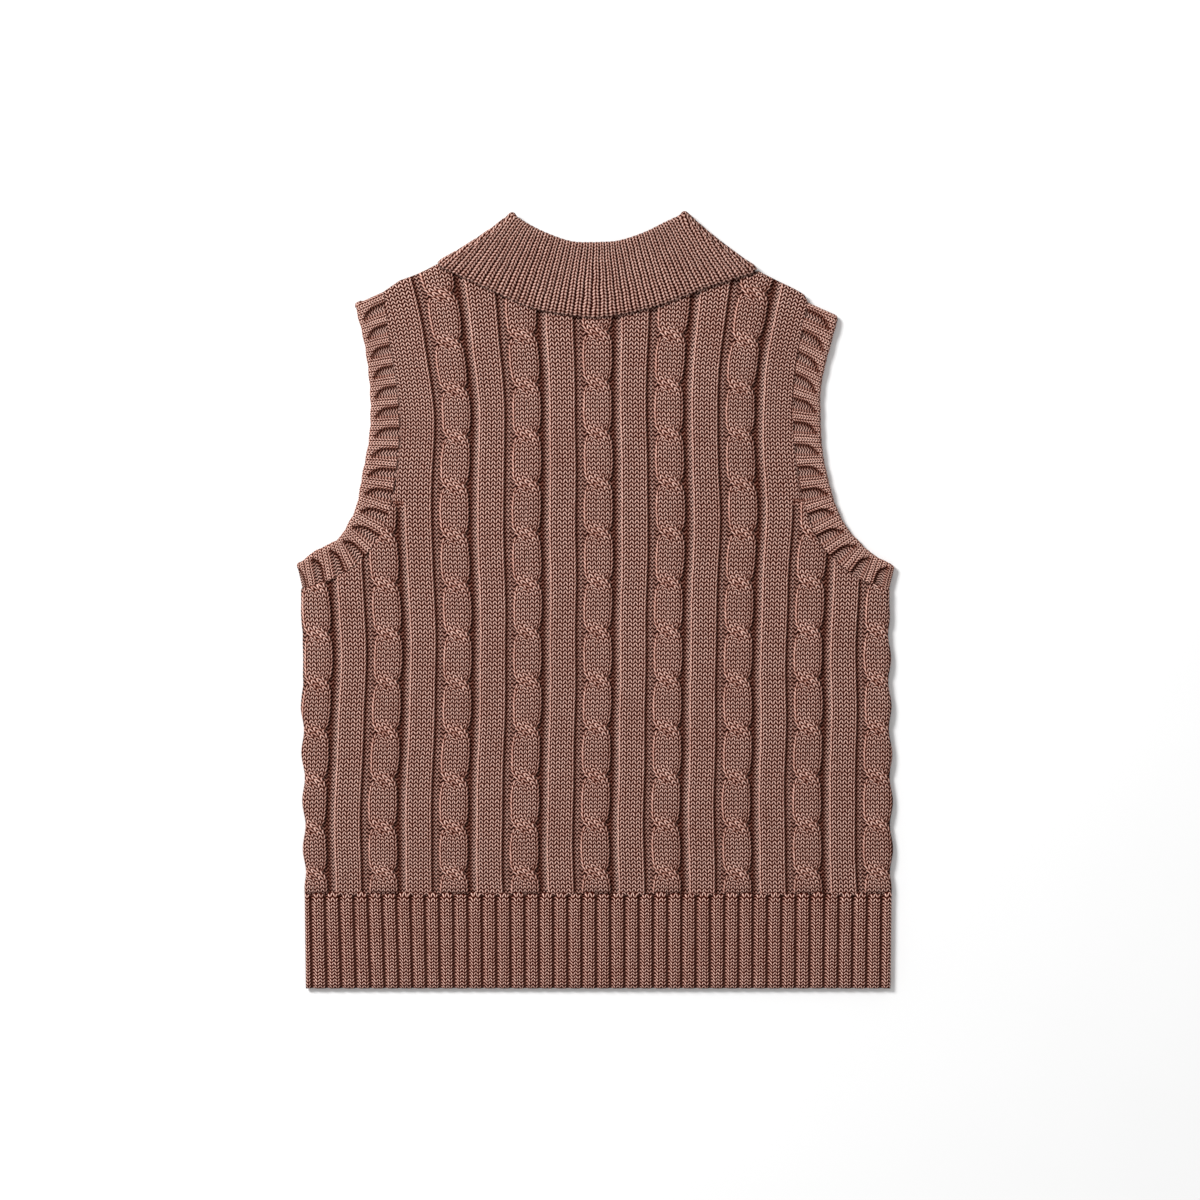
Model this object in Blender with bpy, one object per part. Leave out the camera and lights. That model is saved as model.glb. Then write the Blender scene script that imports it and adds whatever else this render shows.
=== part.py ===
"""Sleeveless cable-knit polo shirt, laid flat on its front with its back up.

Metres, +Z up, collar towards +Y, the wearer's left hand towards -X. The origin is
under the middle of the garment, on the surface that it rests on.

The cloth lies in four layers. From the surface upwards they are the leaves of the
collar's front, the front panel, the back panel and the collar's back. Heights are
measured from the middle plane between the two panels. The middle plane rises over
the collar's front leaves, so that both they and the lower front panel rest flat.
The armhole bands are flattened rings, folded at the shoulder and at the underarm,
and the collar is one folded strip that turns round both sides of the neck.
"""

import math
from collections import namedtuple

import bmesh
import bpy
import numpy as np

MM = 0.001

# Cloth
PANEL_THICKNESS = 3.4 * MM
COLLAR_THICKNESS = 2.4 * MM
SEAM_GAP = 0.3 * MM
LAYER_GAP = 0.3 * MM

# Heights of the layers from the middle plane
PANEL_INNER = LAYER_GAP / 2
PANEL_OUTER = PANEL_INNER + PANEL_THICKNESS
STAND_MIDDLE = LAYER_GAP / 2 + COLLAR_THICKNESS / 2
FALL_MIDDLE = PANEL_OUTER + LAYER_GAP + COLLAR_THICKNESS / 2
FALL_OUTER = FALL_MIDDLE + COLLAR_THICKNESS / 2
FOLD_RADIUS = (FALL_MIDDLE - STAND_MIDDLE) / 2
FOLD_HEIGHT = (FALL_MIDDLE + STAND_MIDDLE) / 2

# The rise of the middle plane over the collar's front leaves
LEAF_CORNER = np.array((121.0, 254.0)) * MM
LEAF_POINT = np.array((48.0, 108.0)) * MM
LEAF_MIDDLE = np.array((0.0, 122.0)) * MM
RISE_REACH = 80 * MM

# The collar's side creases bend in by this much between fold and corner
SIDE_BOW = 2.0 * MM
SHOULDER_INSET = 1.0 * MM

# Segments of the faceted walls
ARMHOLE_SEGMENTS = 16
BAND_SEGMENTS = 2
BAND_FOLD_STEPS = 4
SIDE_SEGMENTS = 3
SHOULDER_SEGMENTS = 6
NECK_BACK_SEGMENTS = 8
NECK_FRONT_SEGMENTS = 9
COLLAR_TURN_STEPS = 6
STAND_SEGMENTS = 2
FOLD_STEPS = 5
FALL_SEGMENTS = 5
HEM_COLUMNS = 24
HEM_ROWS = 2

# In every table x is the distance out from the garment's middle line, in millimetres,
# and y is the distance along it.
SideRow = namedtuple("SideRow", "x y")
BandRow = namedtuple("BandRow", "seam_x seam_y edge_x edge_y")
CollarRow = namedtuple("CollarRow", "seam_x seam_y fold_x fold_y edge_x edge_y")

# Side seam from the hem's lower corner to below the underarm
SIDE_LINE = {
    "left": (
        SideRow(221.3, -297.2),
        SideRow(222.2, -226.0),
        SideRow(223.0, -150.0),
        SideRow(224.4, -70.0),
        SideRow(225.0, 8.0),
    ),
    "right": (
        SideRow(225.3, -297.2),
        SideRow(226.1, -226.0),
        SideRow(226.0, -150.0),
        SideRow(224.8, -70.0),
        SideRow(224.5, 8.0),
    ),
}

# Armhole band from the underarm fold to the shoulder fold
BAND = {
    "left": (
        BandRow(221.0, 8.8, 225.5, 28.5),
        BandRow(198.5, 15.7, 214.5, 37.0),
        BandRow(176.0, 31.0, 203.0, 44.5),
        BandRow(160.5, 57.0, 188.8, 61.0),
        BandRow(153.0, 92.0, 178.2, 95.0),
        BandRow(149.6, 127.0, 172.6, 127.0),
        BandRow(151.5, 163.0, 172.3, 160.0),
        BandRow(157.2, 198.5, 176.3, 193.9),
        BandRow(161.1, 232.8, 183.2, 222.9),
    ),
    "right": (
        BandRow(221.0, 8.5, 225.5, 27.0),
        BandRow(203.0, 15.5, 215.5, 34.5),
        BandRow(183.0, 33.0, 205.5, 42.5),
        BandRow(167.0, 54.0, 192.0, 57.5),
        BandRow(158.5, 82.0, 181.0, 82.0),
        BandRow(152.5, 112.0, 173.5, 112.0),
        BandRow(150.6, 143.0, 171.8, 140.0),
        BandRow(153.0, 178.0, 173.0, 168.0),
        BandRow(161.1, 223.6, 182.5, 213.7),
    ),
}

# Shoulder edge from the collar's corner to the armhole band
SHOULDER = {
    "left": (SideRow(121.5, 253.6), SideRow(135.0, 247.5), SideRow(149.6, 242.4)),
    "right": (SideRow(124.5, 250.6), SideRow(138.8, 243.4), SideRow(152.6, 235.6)),
}

# Collar from the middle of the back to the side crease
COLLAR_BACK = {
    "left": (
        CollarRow(0.0, 240.0, 0.0, 269.6, 0.0, 214.8),
        CollarRow(21.5, 242.0, 17.5, 270.2, 24.0, 217.6),
        CollarRow(43.0, 248.5, 34.5, 275.4, 51.0, 223.2),
        CollarRow(63.0, 259.5, 50.0, 282.6, 82.0, 237.0),
        CollarRow(80.7, 274.4, 61.9, 290.1, 115.4, 252.4),
    ),
    "right": (
        CollarRow(0.0, 240.0, 0.0, 269.6, 0.0, 214.8),
        CollarRow(22.0, 241.5, 18.0, 271.0, 25.0, 218.6),
        CollarRow(45.0, 248.5, 37.5, 277.2, 53.0, 225.8),
        CollarRow(66.0, 260.0, 53.5, 285.0, 84.0, 237.6),
        CollarRow(84.1, 274.5, 66.2, 291.2, 119.6, 248.7),
    ),
}

# Collar from the side crease to its end at the bottom of the front opening
COLLAR_FRONT = {
    "left": (
        CollarRow(80.7, 274.4, 61.9, 290.1, 115.4, 252.4),
        CollarRow(56.5, 225.6, 41.0, 236.0, 93.0, 205.0),
        CollarRow(32.2, 176.8, 21.0, 183.5, 69.5, 157.5),
        CollarRow(8.0, 128.0, 4.0, 134.0, 46.0, 110.0),
    ),
    "right": (
        CollarRow(84.1, 274.5, 66.2, 291.2, 119.6, 248.7),
        CollarRow(58.7, 225.6, 43.0, 236.0, 95.0, 202.5),
        CollarRow(33.4, 176.8, 22.0, 183.5, 70.5, 156.5),
        CollarRow(8.0, 128.0, 4.0, 134.0, 46.0, 110.0),
    ),
}

OUTWARD = {"left": -1, "right": 1}

# Display colours of the yarn as it looks in each stitch, sRGB
PLAIN_KNIT_COLOUR = (0.565, 0.416, 0.373)
COLLAR_RIB_COLOUR = (0.486, 0.353, 0.314)
HEM_RIB_COLOUR = (0.490, 0.349, 0.314)
BAND_RIB_COLOUR = (0.545, 0.400, 0.357)
YARN_ROUGHNESS = 0.9


def clear_scene():
    """Remove the objects that the scene starts with."""
    for item in list(bpy.data.objects):
        bpy.data.objects.remove(item, do_unlink=True)


def linear(channel):
    """Linear value of one sRGB channel."""
    if channel <= 0.04045:
        return channel / 12.92
    return ((channel + 0.055) / 1.055) ** 2.4


def yarn(name, colour):
    """Matt cotton yarn in one display colour."""
    material = bpy.data.materials.new(name)
    material.use_nodes = True
    shader = material.node_tree.nodes["Principled BSDF"]
    shader.inputs["Base Color"].default_value = (*(linear(channel) for channel in colour), 1.0)
    shader.inputs["Roughness"].default_value = YARN_ROUGHNESS
    shader.inputs["Metallic"].default_value = 0.0
    return material


def unit(vectors):
    """Vectors along the last axis, each at length one."""
    return vectors / np.linalg.norm(vectors, axis=-1, keepdims=True)


def stations(rows, segments):
    """Evenly stepped stations of the smooth curve through a table's rows, in metres."""
    rows = np.array(rows, float) * MM
    knots = np.vstack((2 * rows[0] - rows[1], rows, 2 * rows[-1] - rows[-2]))
    curve = []
    for position in np.linspace(0, len(rows) - 1, segments + 1):
        span = min(int(position), len(rows) - 2)
        t = position - span
        before, start, end, after = knots[span:span + 4]
        straight = 2 * start + (end - before) * t
        bend = (2 * before - 5 * start + 4 * end - after) * t ** 2
        twist = (3 * start - before - 3 * end + after) * t ** 3
        curve.append((straight + bend + twist) / 2)
    return np.array(curve)


def outside(points, start, end):
    """Distance of plan points beyond the line from start to end, on its outer side."""
    along = unit(end - start)
    across = np.array((-along[1], along[0]))
    return (points - start) @ across


def middle_height(points):
    """Height of the middle plane between the panels, above plan points."""
    folded = np.stack((np.abs(points[..., 0]), points[..., 1]), axis=-1)
    beyond = np.maximum(outside(folded, LEAF_CORNER, LEAF_POINT),
                        outside(folded, LEAF_POINT, LEAF_MIDDLE))
    share = np.clip(beyond / RISE_REACH, 0, 1)
    fade = 1 - share ** 2 * (3 - 2 * share)
    return PANEL_OUTER + (FALL_OUTER - PANEL_OUTER) * fade


def raised(plan, height):
    """Plan points at a height from the middle plane."""
    level = middle_height(plan) + height
    return np.concatenate((plan, level[..., np.newaxis]), axis=-1)


def turned(plan, height, outward, angle):
    """Plan points at a height from the middle plane, turned round a side crease."""
    moved = plan + outward * height[..., np.newaxis] * math.sin(angle)
    level = middle_height(plan) + height * math.cos(angle)
    return np.concatenate((moved, level[..., np.newaxis]), axis=-1)


def mirrored(points, side):
    """Points given outward from the middle line, placed on one side of the garment."""
    placed = points.copy()
    placed[..., 0] *= OUTWARD[side]
    return placed


def cloth(name, material, under, over, ring=False):
    """One closed wall between two sheets of points, indexed by station and column.

    A ring's last station repeats its first, and the two are welded.
    """
    last_station = under.shape[0] - 1
    last_column = under.shape[1] - 1
    wall = bmesh.new()
    bmesh.ops.create_grid(wall, x_segments=last_station, y_segments=last_column, size=0.5)
    near = list(wall.verts)
    grown = bmesh.ops.extrude_face_region(wall, geom=wall.faces[:], use_keep_orig=True)["geom"]
    far = [item for item in grown if isinstance(item, bmesh.types.BMVert)]
    if ring:
        ends = [face for face in wall.faces
                if all(abs(vert.co.x) > 0.499 for vert in face.verts)]
        bmesh.ops.delete(wall, geom=ends, context="FACES_ONLY")
    for verts, sheet in ((near, under), (far, over)):
        for vert in verts:
            station = round((vert.co.x + 0.5) * last_station)
            column = round((vert.co.y + 0.5) * last_column)
            vert.co = sheet[station, column]
    if ring:
        bmesh.ops.remove_doubles(wall, verts=wall.verts[:], dist=0.001 * MM)
    bmesh.ops.recalc_face_normals(wall, faces=wall.faces[:])
    if wall.calc_volume(signed=True) < 0:
        bmesh.ops.reverse_faces(wall, faces=wall.faces[:])
    mesh = bpy.data.meshes.new(name)
    wall.to_mesh(mesh)
    wall.free()
    mesh.materials.append(material)
    mesh.shade_smooth()
    mesh.set_sharp_from_angle(angle=math.radians(40))
    piece = bpy.data.objects.new(name, mesh)
    bpy.context.collection.objects.link(piece)
    return piece


def pulled_back(seam, free):
    """Seam points moved away from the neighbour's free edge by the seam gap."""
    return seam + unit(seam - free) * SEAM_GAP


def band_fold(row):
    """Outward direction of a band's fold at one end of its half ring."""
    along = unit(row[2:4] - row[0:2])
    across = np.array((along[1], -along[0]))
    return across


def armhole_border(side):
    """A panel's border from the hem seam up the side and round the armhole."""
    side_line = stations(SIDE_LINE[side][1:], SIDE_SEGMENTS)
    band = stations(BAND[side], ARMHOLE_SEGMENTS)
    seam = pulled_back(band[:, 0:2], band[:, 2:4])
    underarm = seam[0] + band_fold(band[0]) * PANEL_OUTER
    shoulder = seam[-1] - band_fold(band[-1]) * PANEL_OUTER
    border = np.vstack((side_line[:-1], underarm, seam, shoulder))
    border[0, 1] += SEAM_GAP / 2
    return border


def side_crease(row, share):
    """Point on the collar's side crease, at a share of the way from fold to edge."""
    fold, edge = row[2:4], row[4:6]
    inward = -crease_normal(row)
    return fold + (edge - fold) * share + inward * SIDE_BOW * 4 * share * (1 - share)


def crease_normal(row):
    """Outward direction across the collar's side crease."""
    along = unit(row[2:4] - row[4:6])
    return np.array((along[1], -along[0]))


def shoulder_border(side):
    """A panel's border from the armhole's shoulder end to the neck."""
    crease = stations(COLLAR_BACK[side], NECK_BACK_SEGMENTS)[-1]
    outer = armhole_border(side)[-1]
    inset = -crease_normal(crease) * SHOULDER_INSET
    neck = pulled_back(crease[0:2], crease[2:4])
    covered = [side_crease(crease, 1.0) + inset, side_crease(crease, 0.7) + inset]
    visible = [np.array(row) * MM for row in reversed(SHOULDER[side])]
    return np.array([outer, *visible, *covered, neck])


def neck_border(rows, segments):
    """A panel's border along half of the neck seam, from the side crease inward."""
    curve = stations(rows, segments)
    return pulled_back(curve[:, 0:2], curve[:, 2:4])


def patch(left, right, bottom, top):
    """Plan points that fill four borders, indexed by column and row."""
    rise = (left[:, 1] - left[0, 1]) / (left[-1, 1] - left[0, 1])
    across = np.linspace(0, 1, len(bottom))
    s = across[:, np.newaxis, np.newaxis]
    w = rise[np.newaxis, :, np.newaxis]
    between_sides = (1 - s) * left[np.newaxis] + s * right[np.newaxis]
    between_ends = (1 - w) * bottom[:, np.newaxis] + w * top[:, np.newaxis]
    corners = ((1 - s) * (1 - w) * bottom[0] + s * (1 - w) * bottom[-1]
               + (1 - s) * w * top[0] + s * w * top[-1])
    return between_sides + between_ends - corners


def panel_plan(neck_rows, segments):
    """Plan points of a body panel with the given neck, indexed by column and row."""
    halves = {}
    for side in OUTWARD:
        shoulder = shoulder_border(side)
        neck = neck_border(neck_rows[side], segments)
        halves[side] = mirrored(np.vstack((shoulder[:-1], neck)), side)
    meeting = np.allclose(halves["left"][-1], halves["right"][-1])
    top = np.vstack((halves["left"], halves["right"][::-1][int(meeting):]))
    left = mirrored(armhole_border("left"), "left")
    right = mirrored(armhole_border("right"), "right")
    bottom = np.linspace(left[0], right[0], len(top))
    return patch(left, right, bottom, top)


def back_panel():
    """The back, from the hem seam to the shoulders and the shallow back neck."""
    rows = {side: COLLAR_BACK[side][::-1] for side in OUTWARD}
    plan = panel_plan(rows, NECK_BACK_SEGMENTS)
    cloth("back_panel", yarn("back_knit", PLAIN_KNIT_COLOUR),
          raised(plan, PANEL_INNER), raised(plan, PANEL_OUTER))


def front_panel():
    """The front, with the same armholes and a plain V neck."""
    plan = panel_plan(COLLAR_FRONT, NECK_FRONT_SEGMENTS)
    cloth("front_panel", yarn("front_knit", PLAIN_KNIT_COLOUR),
          raised(plan, -PANEL_OUTER), raised(plan, -PANEL_INNER))


def hem_ribs():
    """The deep ribbed hem below each panel."""
    corners = {side: np.array(SIDE_LINE[side][0:2]) * MM for side in OUTWARD}
    left = mirrored(corners["left"], "left")
    right = mirrored(corners["right"], "right")
    share = np.linspace(0, 1, HEM_COLUMNS + 1)[:, np.newaxis]
    depth = np.linspace(0, 1, HEM_ROWS + 1)[np.newaxis, :, np.newaxis]
    lower = (left[0] + (right[0] - left[0]) * share)[:, np.newaxis]
    upper = (left[1] + (right[1] - left[1]) * share)[:, np.newaxis]
    upper = upper - np.array((0.0, SEAM_GAP / 2))
    plan = lower + (upper - lower) * depth
    cloth("back_hem_rib", yarn("back_hem_knit", HEM_RIB_COLOUR),
          raised(plan, PANEL_INNER), raised(plan, PANEL_OUTER))
    cloth("front_hem_rib", yarn("front_hem_knit", HEM_RIB_COLOUR),
          raised(plan, -PANEL_OUTER), raised(plan, -PANEL_INNER))


def band_section(station, height, outward, angle):
    """Points across a band at one station, from its seam to its free edge."""
    seam, edge = station[0:2], station[2:4]
    share = np.linspace(0, 1, BAND_SEGMENTS + 1)[:, np.newaxis]
    plan = seam + (edge - seam) * share
    return turned(plan, np.full(len(plan), height), outward, angle)


def armhole_band(side):
    """A ribbed band round one armhole, folded flat at the underarm and the shoulder."""
    half = stations(BAND[side], ARMHOLE_SEGMENTS)
    underarm = band_fold(half[0])
    shoulder = -band_fold(half[-1])
    fold_angles = np.linspace(0, math.pi, BAND_FOLD_STEPS + 1)
    course = [(row, shoulder, 0.0) for row in half[:-1]]
    course += [(half[-1], shoulder, angle) for angle in fold_angles]
    course += [(row, underarm, math.pi) for row in half[-2:0:-1]]
    course += [(half[0], underarm, angle) for angle in fold_angles[::-1]]
    faces = []
    for height in (PANEL_INNER, PANEL_OUTER):
        points = [band_section(row, height, outward, angle) for row, outward, angle in course]
        faces.append(mirrored(np.array(points), side))
    cloth(f"armhole_band_{side}", yarn(f"band_knit_{side}", BAND_RIB_COLOUR), *faces, ring=True)


def collar_section(row, offset, angle):
    """Points across the collar at one station: up the stand, over the fold, down the fall.

    The offset moves them out from the middle of the cloth, away from the fold's axis.
    """
    seam, fold, edge = row[0:2], row[2:4], row[4:6]
    turning = 0 < angle < math.pi
    crease = unit(fold - edge)
    plan = []
    height = []
    for share in np.linspace(0, 1, STAND_SEGMENTS + 1):
        plan.append(seam + (fold - seam) * share)
        height.append(STAND_MIDDLE - offset)
    for step in np.linspace(0, math.pi, FOLD_STEPS + 1)[1:-1]:
        plan.append(fold + crease * (FOLD_RADIUS + offset) * math.sin(step))
        height.append(FOLD_HEIGHT - (FOLD_RADIUS + offset) * math.cos(step))
    for share in np.linspace(0, 1, FALL_SEGMENTS + 1):
        straight = fold + (edge - fold) * share
        plan.append(side_crease(row, share) if turning else straight)
        height.append(FALL_MIDDLE + offset)
    return turned(np.array(plan), np.array(height), crease_normal(row), angle)


def collar_course(side):
    """Stations of half the collar, from the middle of the back to its front end."""
    back = stations(COLLAR_BACK[side], NECK_BACK_SEGMENTS)
    front = stations(COLLAR_FRONT[side], NECK_FRONT_SEGMENTS)
    turn_angles = np.linspace(0, math.pi, COLLAR_TURN_STEPS + 1)
    course = [(row, 0.0) for row in back[:-1]]
    course += [(back[-1], angle) for angle in turn_angles]
    course += [(row, math.pi) for row in front[1:]]
    return course


def collar():
    """The folded collar, one strip from end to end round the back of the neck."""
    faces = []
    for offset in (-COLLAR_THICKNESS / 2, COLLAR_THICKNESS / 2):
        halves = {}
        for side in OUTWARD:
            points = [collar_section(row, offset, angle) for row, angle in collar_course(side)]
            halves[side] = mirrored(np.array(points), side)
        faces.append(np.concatenate((halves["left"][::-1], halves["right"][1:])))
    cloth("collar", yarn("collar_knit", COLLAR_RIB_COLOUR), *faces)


def main():
    """Build every piece of the garment."""
    clear_scene()
    back_panel()
    front_panel()
    hem_ribs()
    for side in OUTWARD:
        armhole_band(side)
    collar()


if __name__ == "__main__":
    main()
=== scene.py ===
"""Looks of the sleeveless cable-knit polo shirt, laid flat on its front.

Metres, +Z up, collar towards +Y, the wearer's left hand towards -X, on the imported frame.
The knitting is laid out in stitches: a course is one row of stitches and a wale is one
column of them. Each piece is a closed wall of cloth whose relief is modelled, and each
carries a map of its own stitches, from which the yarn's loops are drawn in its finish.
"""

import math
from collections import namedtuple

import bmesh
import bpy
import numpy as np
from bpy.props import FloatProperty, FloatVectorProperty, PointerProperty
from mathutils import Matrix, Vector


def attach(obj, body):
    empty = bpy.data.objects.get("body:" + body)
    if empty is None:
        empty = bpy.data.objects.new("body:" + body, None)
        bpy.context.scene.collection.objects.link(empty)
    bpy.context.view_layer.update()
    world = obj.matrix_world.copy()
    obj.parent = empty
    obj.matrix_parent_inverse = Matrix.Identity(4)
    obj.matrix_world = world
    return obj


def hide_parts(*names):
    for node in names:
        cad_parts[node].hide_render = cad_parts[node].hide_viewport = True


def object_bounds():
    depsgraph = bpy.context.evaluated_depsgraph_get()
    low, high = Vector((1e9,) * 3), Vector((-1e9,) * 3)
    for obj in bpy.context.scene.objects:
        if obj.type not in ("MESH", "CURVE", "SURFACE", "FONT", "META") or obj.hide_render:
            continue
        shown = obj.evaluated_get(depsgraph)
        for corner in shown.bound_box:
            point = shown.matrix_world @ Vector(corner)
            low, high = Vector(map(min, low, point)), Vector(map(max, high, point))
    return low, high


bl_info = {
    "name": "Sleeveless cable-knit polo",
    "version": (1, 0, 0),
    "blender": (4, 5, 0),
    "location": "View3D > Sidebar > Knitwear",
    "description": "Knitted cloth, yarn finishes and a studio for a sleeveless cable-knit polo",
    "category": "Object",
}

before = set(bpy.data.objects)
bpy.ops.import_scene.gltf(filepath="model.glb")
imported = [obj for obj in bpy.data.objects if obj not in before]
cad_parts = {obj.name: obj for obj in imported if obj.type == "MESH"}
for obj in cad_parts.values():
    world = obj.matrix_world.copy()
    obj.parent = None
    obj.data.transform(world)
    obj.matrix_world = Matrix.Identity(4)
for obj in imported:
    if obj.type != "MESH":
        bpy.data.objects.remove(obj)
CAD_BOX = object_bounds()

MM = 0.001
OUTWARD = {"left": -1, "right": 1}

# Heights of the layers from the middle plane between the two panels
LAYER_GAP = 0.3 * MM
PANEL_THICKNESS = 3.4 * MM
COLLAR_THICKNESS = 2.4 * MM
PANEL_INNER = LAYER_GAP / 2
PANEL_OUTER = PANEL_INNER + PANEL_THICKNESS
STAND_MIDDLE = LAYER_GAP / 2 + COLLAR_THICKNESS / 2
FALL_MIDDLE = PANEL_OUTER + LAYER_GAP + COLLAR_THICKNESS / 2
FALL_OUTER = FALL_MIDDLE + COLLAR_THICKNESS / 2
FOLD_RADIUS = (FALL_MIDDLE - STAND_MIDDLE) / 2
FOLD_HEIGHT = (FALL_MIDDLE + STAND_MIDDLE) / 2

# The rise of the middle plane over the collar's front leaves
LEAF_CORNER = np.array((121.0, 254.0)) * MM
LEAF_POINT = np.array((48.0, 108.0)) * MM
LEAF_MIDDLE = np.array((0.0, 122.0)) * MM
RISE_REACH = 80 * MM

# Slow waves of the upper layers: their height, and their lengths in millimetres across
# and along the garment and on a slant
WAVE_HEIGHT = 0.16 * MM
WAVE_RAISE = 1.6
WAVE_ACROSS, WAVE_ALONG, WAVE_SLANTED = 47, 61, 39
ACROSS_START, ALONG_START = 1.3, -0.6
SLANTED_SHARE, SLANT = 0.6, 1.7

# Seams and edges
SEAM_OVERLAP = 1.2 * MM
SHOULDER_INSET = 1.0 * MM
SIDE_BOW = 2.0 * MM
EDGE_LIP = 0.8 * MM
SIDE_ROLL = 3.4 * MM
SHOULDER_ROLL = 3.0 * MM
ARMHOLE_ROLL = 1.8 * MM
HEM_ROLL = 0.0
NECK_ROLL = 0.8 * MM
LINK_BULGE = 1.2 * MM
BULGE_END = -30 * MM
FOLD_SHARE = 0.6
SIDE_STEPS, ARMHOLE_STEPS, SHOULDER_STEPS, NECK_STEPS = 72, 48, 6, 16

# The body's knitting: a cable of six wales, two purl wales, a stripe of five wales and
# two more purl wales, again and again
CABLE_MIDDLE = 1.9 * MM
CABLE_WIDTH = 24.1 * MM
GROOVE_WIDTH = 4.87 * MM
STRIPE_WIDTH = 20.1 * MM
REPEAT = CABLE_WIDTH + STRIPE_WIDTH + 2 * GROOVE_WIDTH
WALE = STRIPE_WIDTH / 5
CABLE_WALES, GROOVE_WALES, STRIPE_WALES = 6, 2, 5
REPEAT_WALES = CABLE_WALES + STRIPE_WALES + 2 * GROOVE_WALES
CABLES = range(-4, 5)
FIRST_COURSE, LAST_COURSE = -6, 157
COURSES_PER_CROSSING = 12
FIRST_CROSSING_Y = -208.7 * MM
COURSE_HEIGHT = 3.035 * MM
COURSE_GROWTH = 0.00064 * MM

# Towards the shoulders the wales spread and the courses droop at the sides
SPREAD_START = 122 * MM
SPREAD_RUN = 116 * MM
SPREAD = 0.1
DROOP = 0.35
COURSE_WAVE, COURSE_WAVE_LENGTH, COURSE_WAVE_START = 0.4 * MM, 28 * MM, 1
LEFT_SAG = 2.3 * MM
SAG_START, SAG_END = 20 * MM, 110 * MM
SAG_LOW, SAG_HIGH = -215 * MM, -180 * MM
LEAN = 0.8 * MM
LEAN_START, LEAN_END = 140 * MM, 200 * MM

# The cloth is drawn out a little between the armholes and in a little at the waist, and
# the wales swing to the wearer's left above the hem
Pull = namedtuple("Pull", "middle reach amount")
ARMHOLE_PULL = Pull(72 * MM, 42 * MM, 0.024)
WAIST_PULL = Pull(-40 * MM, 45 * MM, -0.01)
HIP_SWING = Pull(-172 * MM, 72 * MM, -2.6 * MM)

# How the wales wander sideways: by how much, and the waves' lengths up and across
Wander = namedtuple("Wander", "amount up across")
WANDERS = (Wander(0.3 * MM, 34 * MM, 90 * MM), Wander(0.25 * MM, 13 * MM, -41 * MM))

# Beside the armholes the outer grooves end, and the stripes run plain to the seam
PLAIN_START = 68 * MM
PLAIN_RUN = 11 * MM
OUTER_STRIPE = 2.5 * REPEAT + STRIPE_WIDTH / 2 - 0.5 * MM

# Steps up a stripe's wall, from its foot: distance in millimetres and share of its height
WallStep = namedtuple("WallStep", "offset rise")
WALL_STEPS = (WallStep(0.0, 0.25), WallStep(0.45, 0.8), WallStep(1.3, 0.97))
# Edge marks on a stripe's walls and, a little, on its first wale from the left, where the light
# falls, which paints it lighter; and painted shade on the walls, little on the left one, which
# faces the light, and more on the right one, turned from it
WALL_EDGE, FIRST_WALE_EDGE = 0.5, 0.2
LIT_WALL_SHADE, FAR_WALL_SHADE = 0.1, 1.2

# Columns of a groove, and of the bed under a cable: share of the way from left to right, and
# painted shade, darkest just to the right of raised cloth, where its shadow falls
Shade = namedtuple("Shade", "share cavity")
AFTER_CABLE = (Shade(0.25, 0.7), Shade(0.5, 0.3), Shade(0.8, 0.1))
AFTER_STRIPE = (Shade(0.2, 0.92), Shade(0.45, 0.4), Shade(0.75, 0.15))
UNDER_CABLE = (Shade(0.0, 0.4), Shade(0.25, 0.4), Shade(0.5, 0.4), Shade(0.75, 0.4),
               Shade(1.0, 0.8))

# Cable strands: how many courses each takes to cross, and how its width changes there
STRAND_WALES = 3
STRAND_OFFSET = 5.5 * MM
STRAND_HALF_WIDTH = 5.7 * MM
FRONT_REACH, BACK_REACH = 2.6, 2.1
FRONT_WIDENING, BACK_WIDENING = 0.24, -0.06
CROSSING_REACH = 2.1
CROSSING_TILT = 0.4
LINK_NARROWING, STRAND_NARROWING = 0.14, 0.05
STRAND_COLUMNS = 10
STRAND_MAP_STEP = 8
STRAND_STEPS = (0, 0.5, 1, 1.5, 2, 2.5, 3.5, 4.5, 6, 7.5, 8.5, 9.5, 10, 10.5, 11, 11.5)

# The cable's section: where its crown falls to nothing, how a strand is rounded where it
# crosses in front and how deep it dives behind, and the thinnest that it gets
CROWN_REACH = 12.2 * MM
FRONT_ROUNDING = 1.3 * MM
DIVE, DIVE_REACH = 2.2 * MM, 1.3
STRAND_BED = PANEL_INNER + 0.3 * MM
STRAND_LIP = PANEL_INNER + 0.6 * MM
STRAND_ROLL = 2 * MM

# Painted shade on a cable: at its sides, on the strand that dives, and in the slit beside the one
# in front; its outer edges carry the edge mark, the left one more, as a painted highlight
SIDE_SHADE, SIDE_SHADE_REACH = 0.25, 11 * MM
DIVE_SHADE, DIVE_PURL = 0.3, 0.45
SLIT_SHADE = 0.6
SLIT_SHARE, SLIT_WIDTH = -0.35, 0.14
SLIT_COURSE, SLIT_LENGTH = -0.6, 1.0
OUTER_EDGE, FAR_EDGE_SHARE = 0.85, 0.5
EDGE_START, OUTER_SWING = 0.7, 0.5
DIVE_PURL_START = 0.2
BEHIND_STRETCH = 0.4

# A stitch: how far its legs rise from foot to crown, and the wave of a purl row, in courses
LEG_RISE = 0.9
PURL_WAVE = 0.26

# The height of a knit stitch's crest, what it loses at its foot, at its apex, at an edge
# and where it is stretched, and how deep the gap beside it is
CREST = 1.06
FOOT_LOSS, APEX_LOSS, EDGE_LOSS, STRETCH_LOSS = 0.9, 0.35, 0.14, 0.12
GAP, APEX_GAP = 0.8, 1.25
EDGE_CLOSING, STRETCH_CLOSING = 0.62, 0.42
GAP_CURVE = 0.9
PURL_CREST, PURL_GAP = 1.7, 2.7
RIB_GAP_SWING = 0.26
RIB_GAP_START, RIB_GAP_END = 0.6, 0.84

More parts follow.
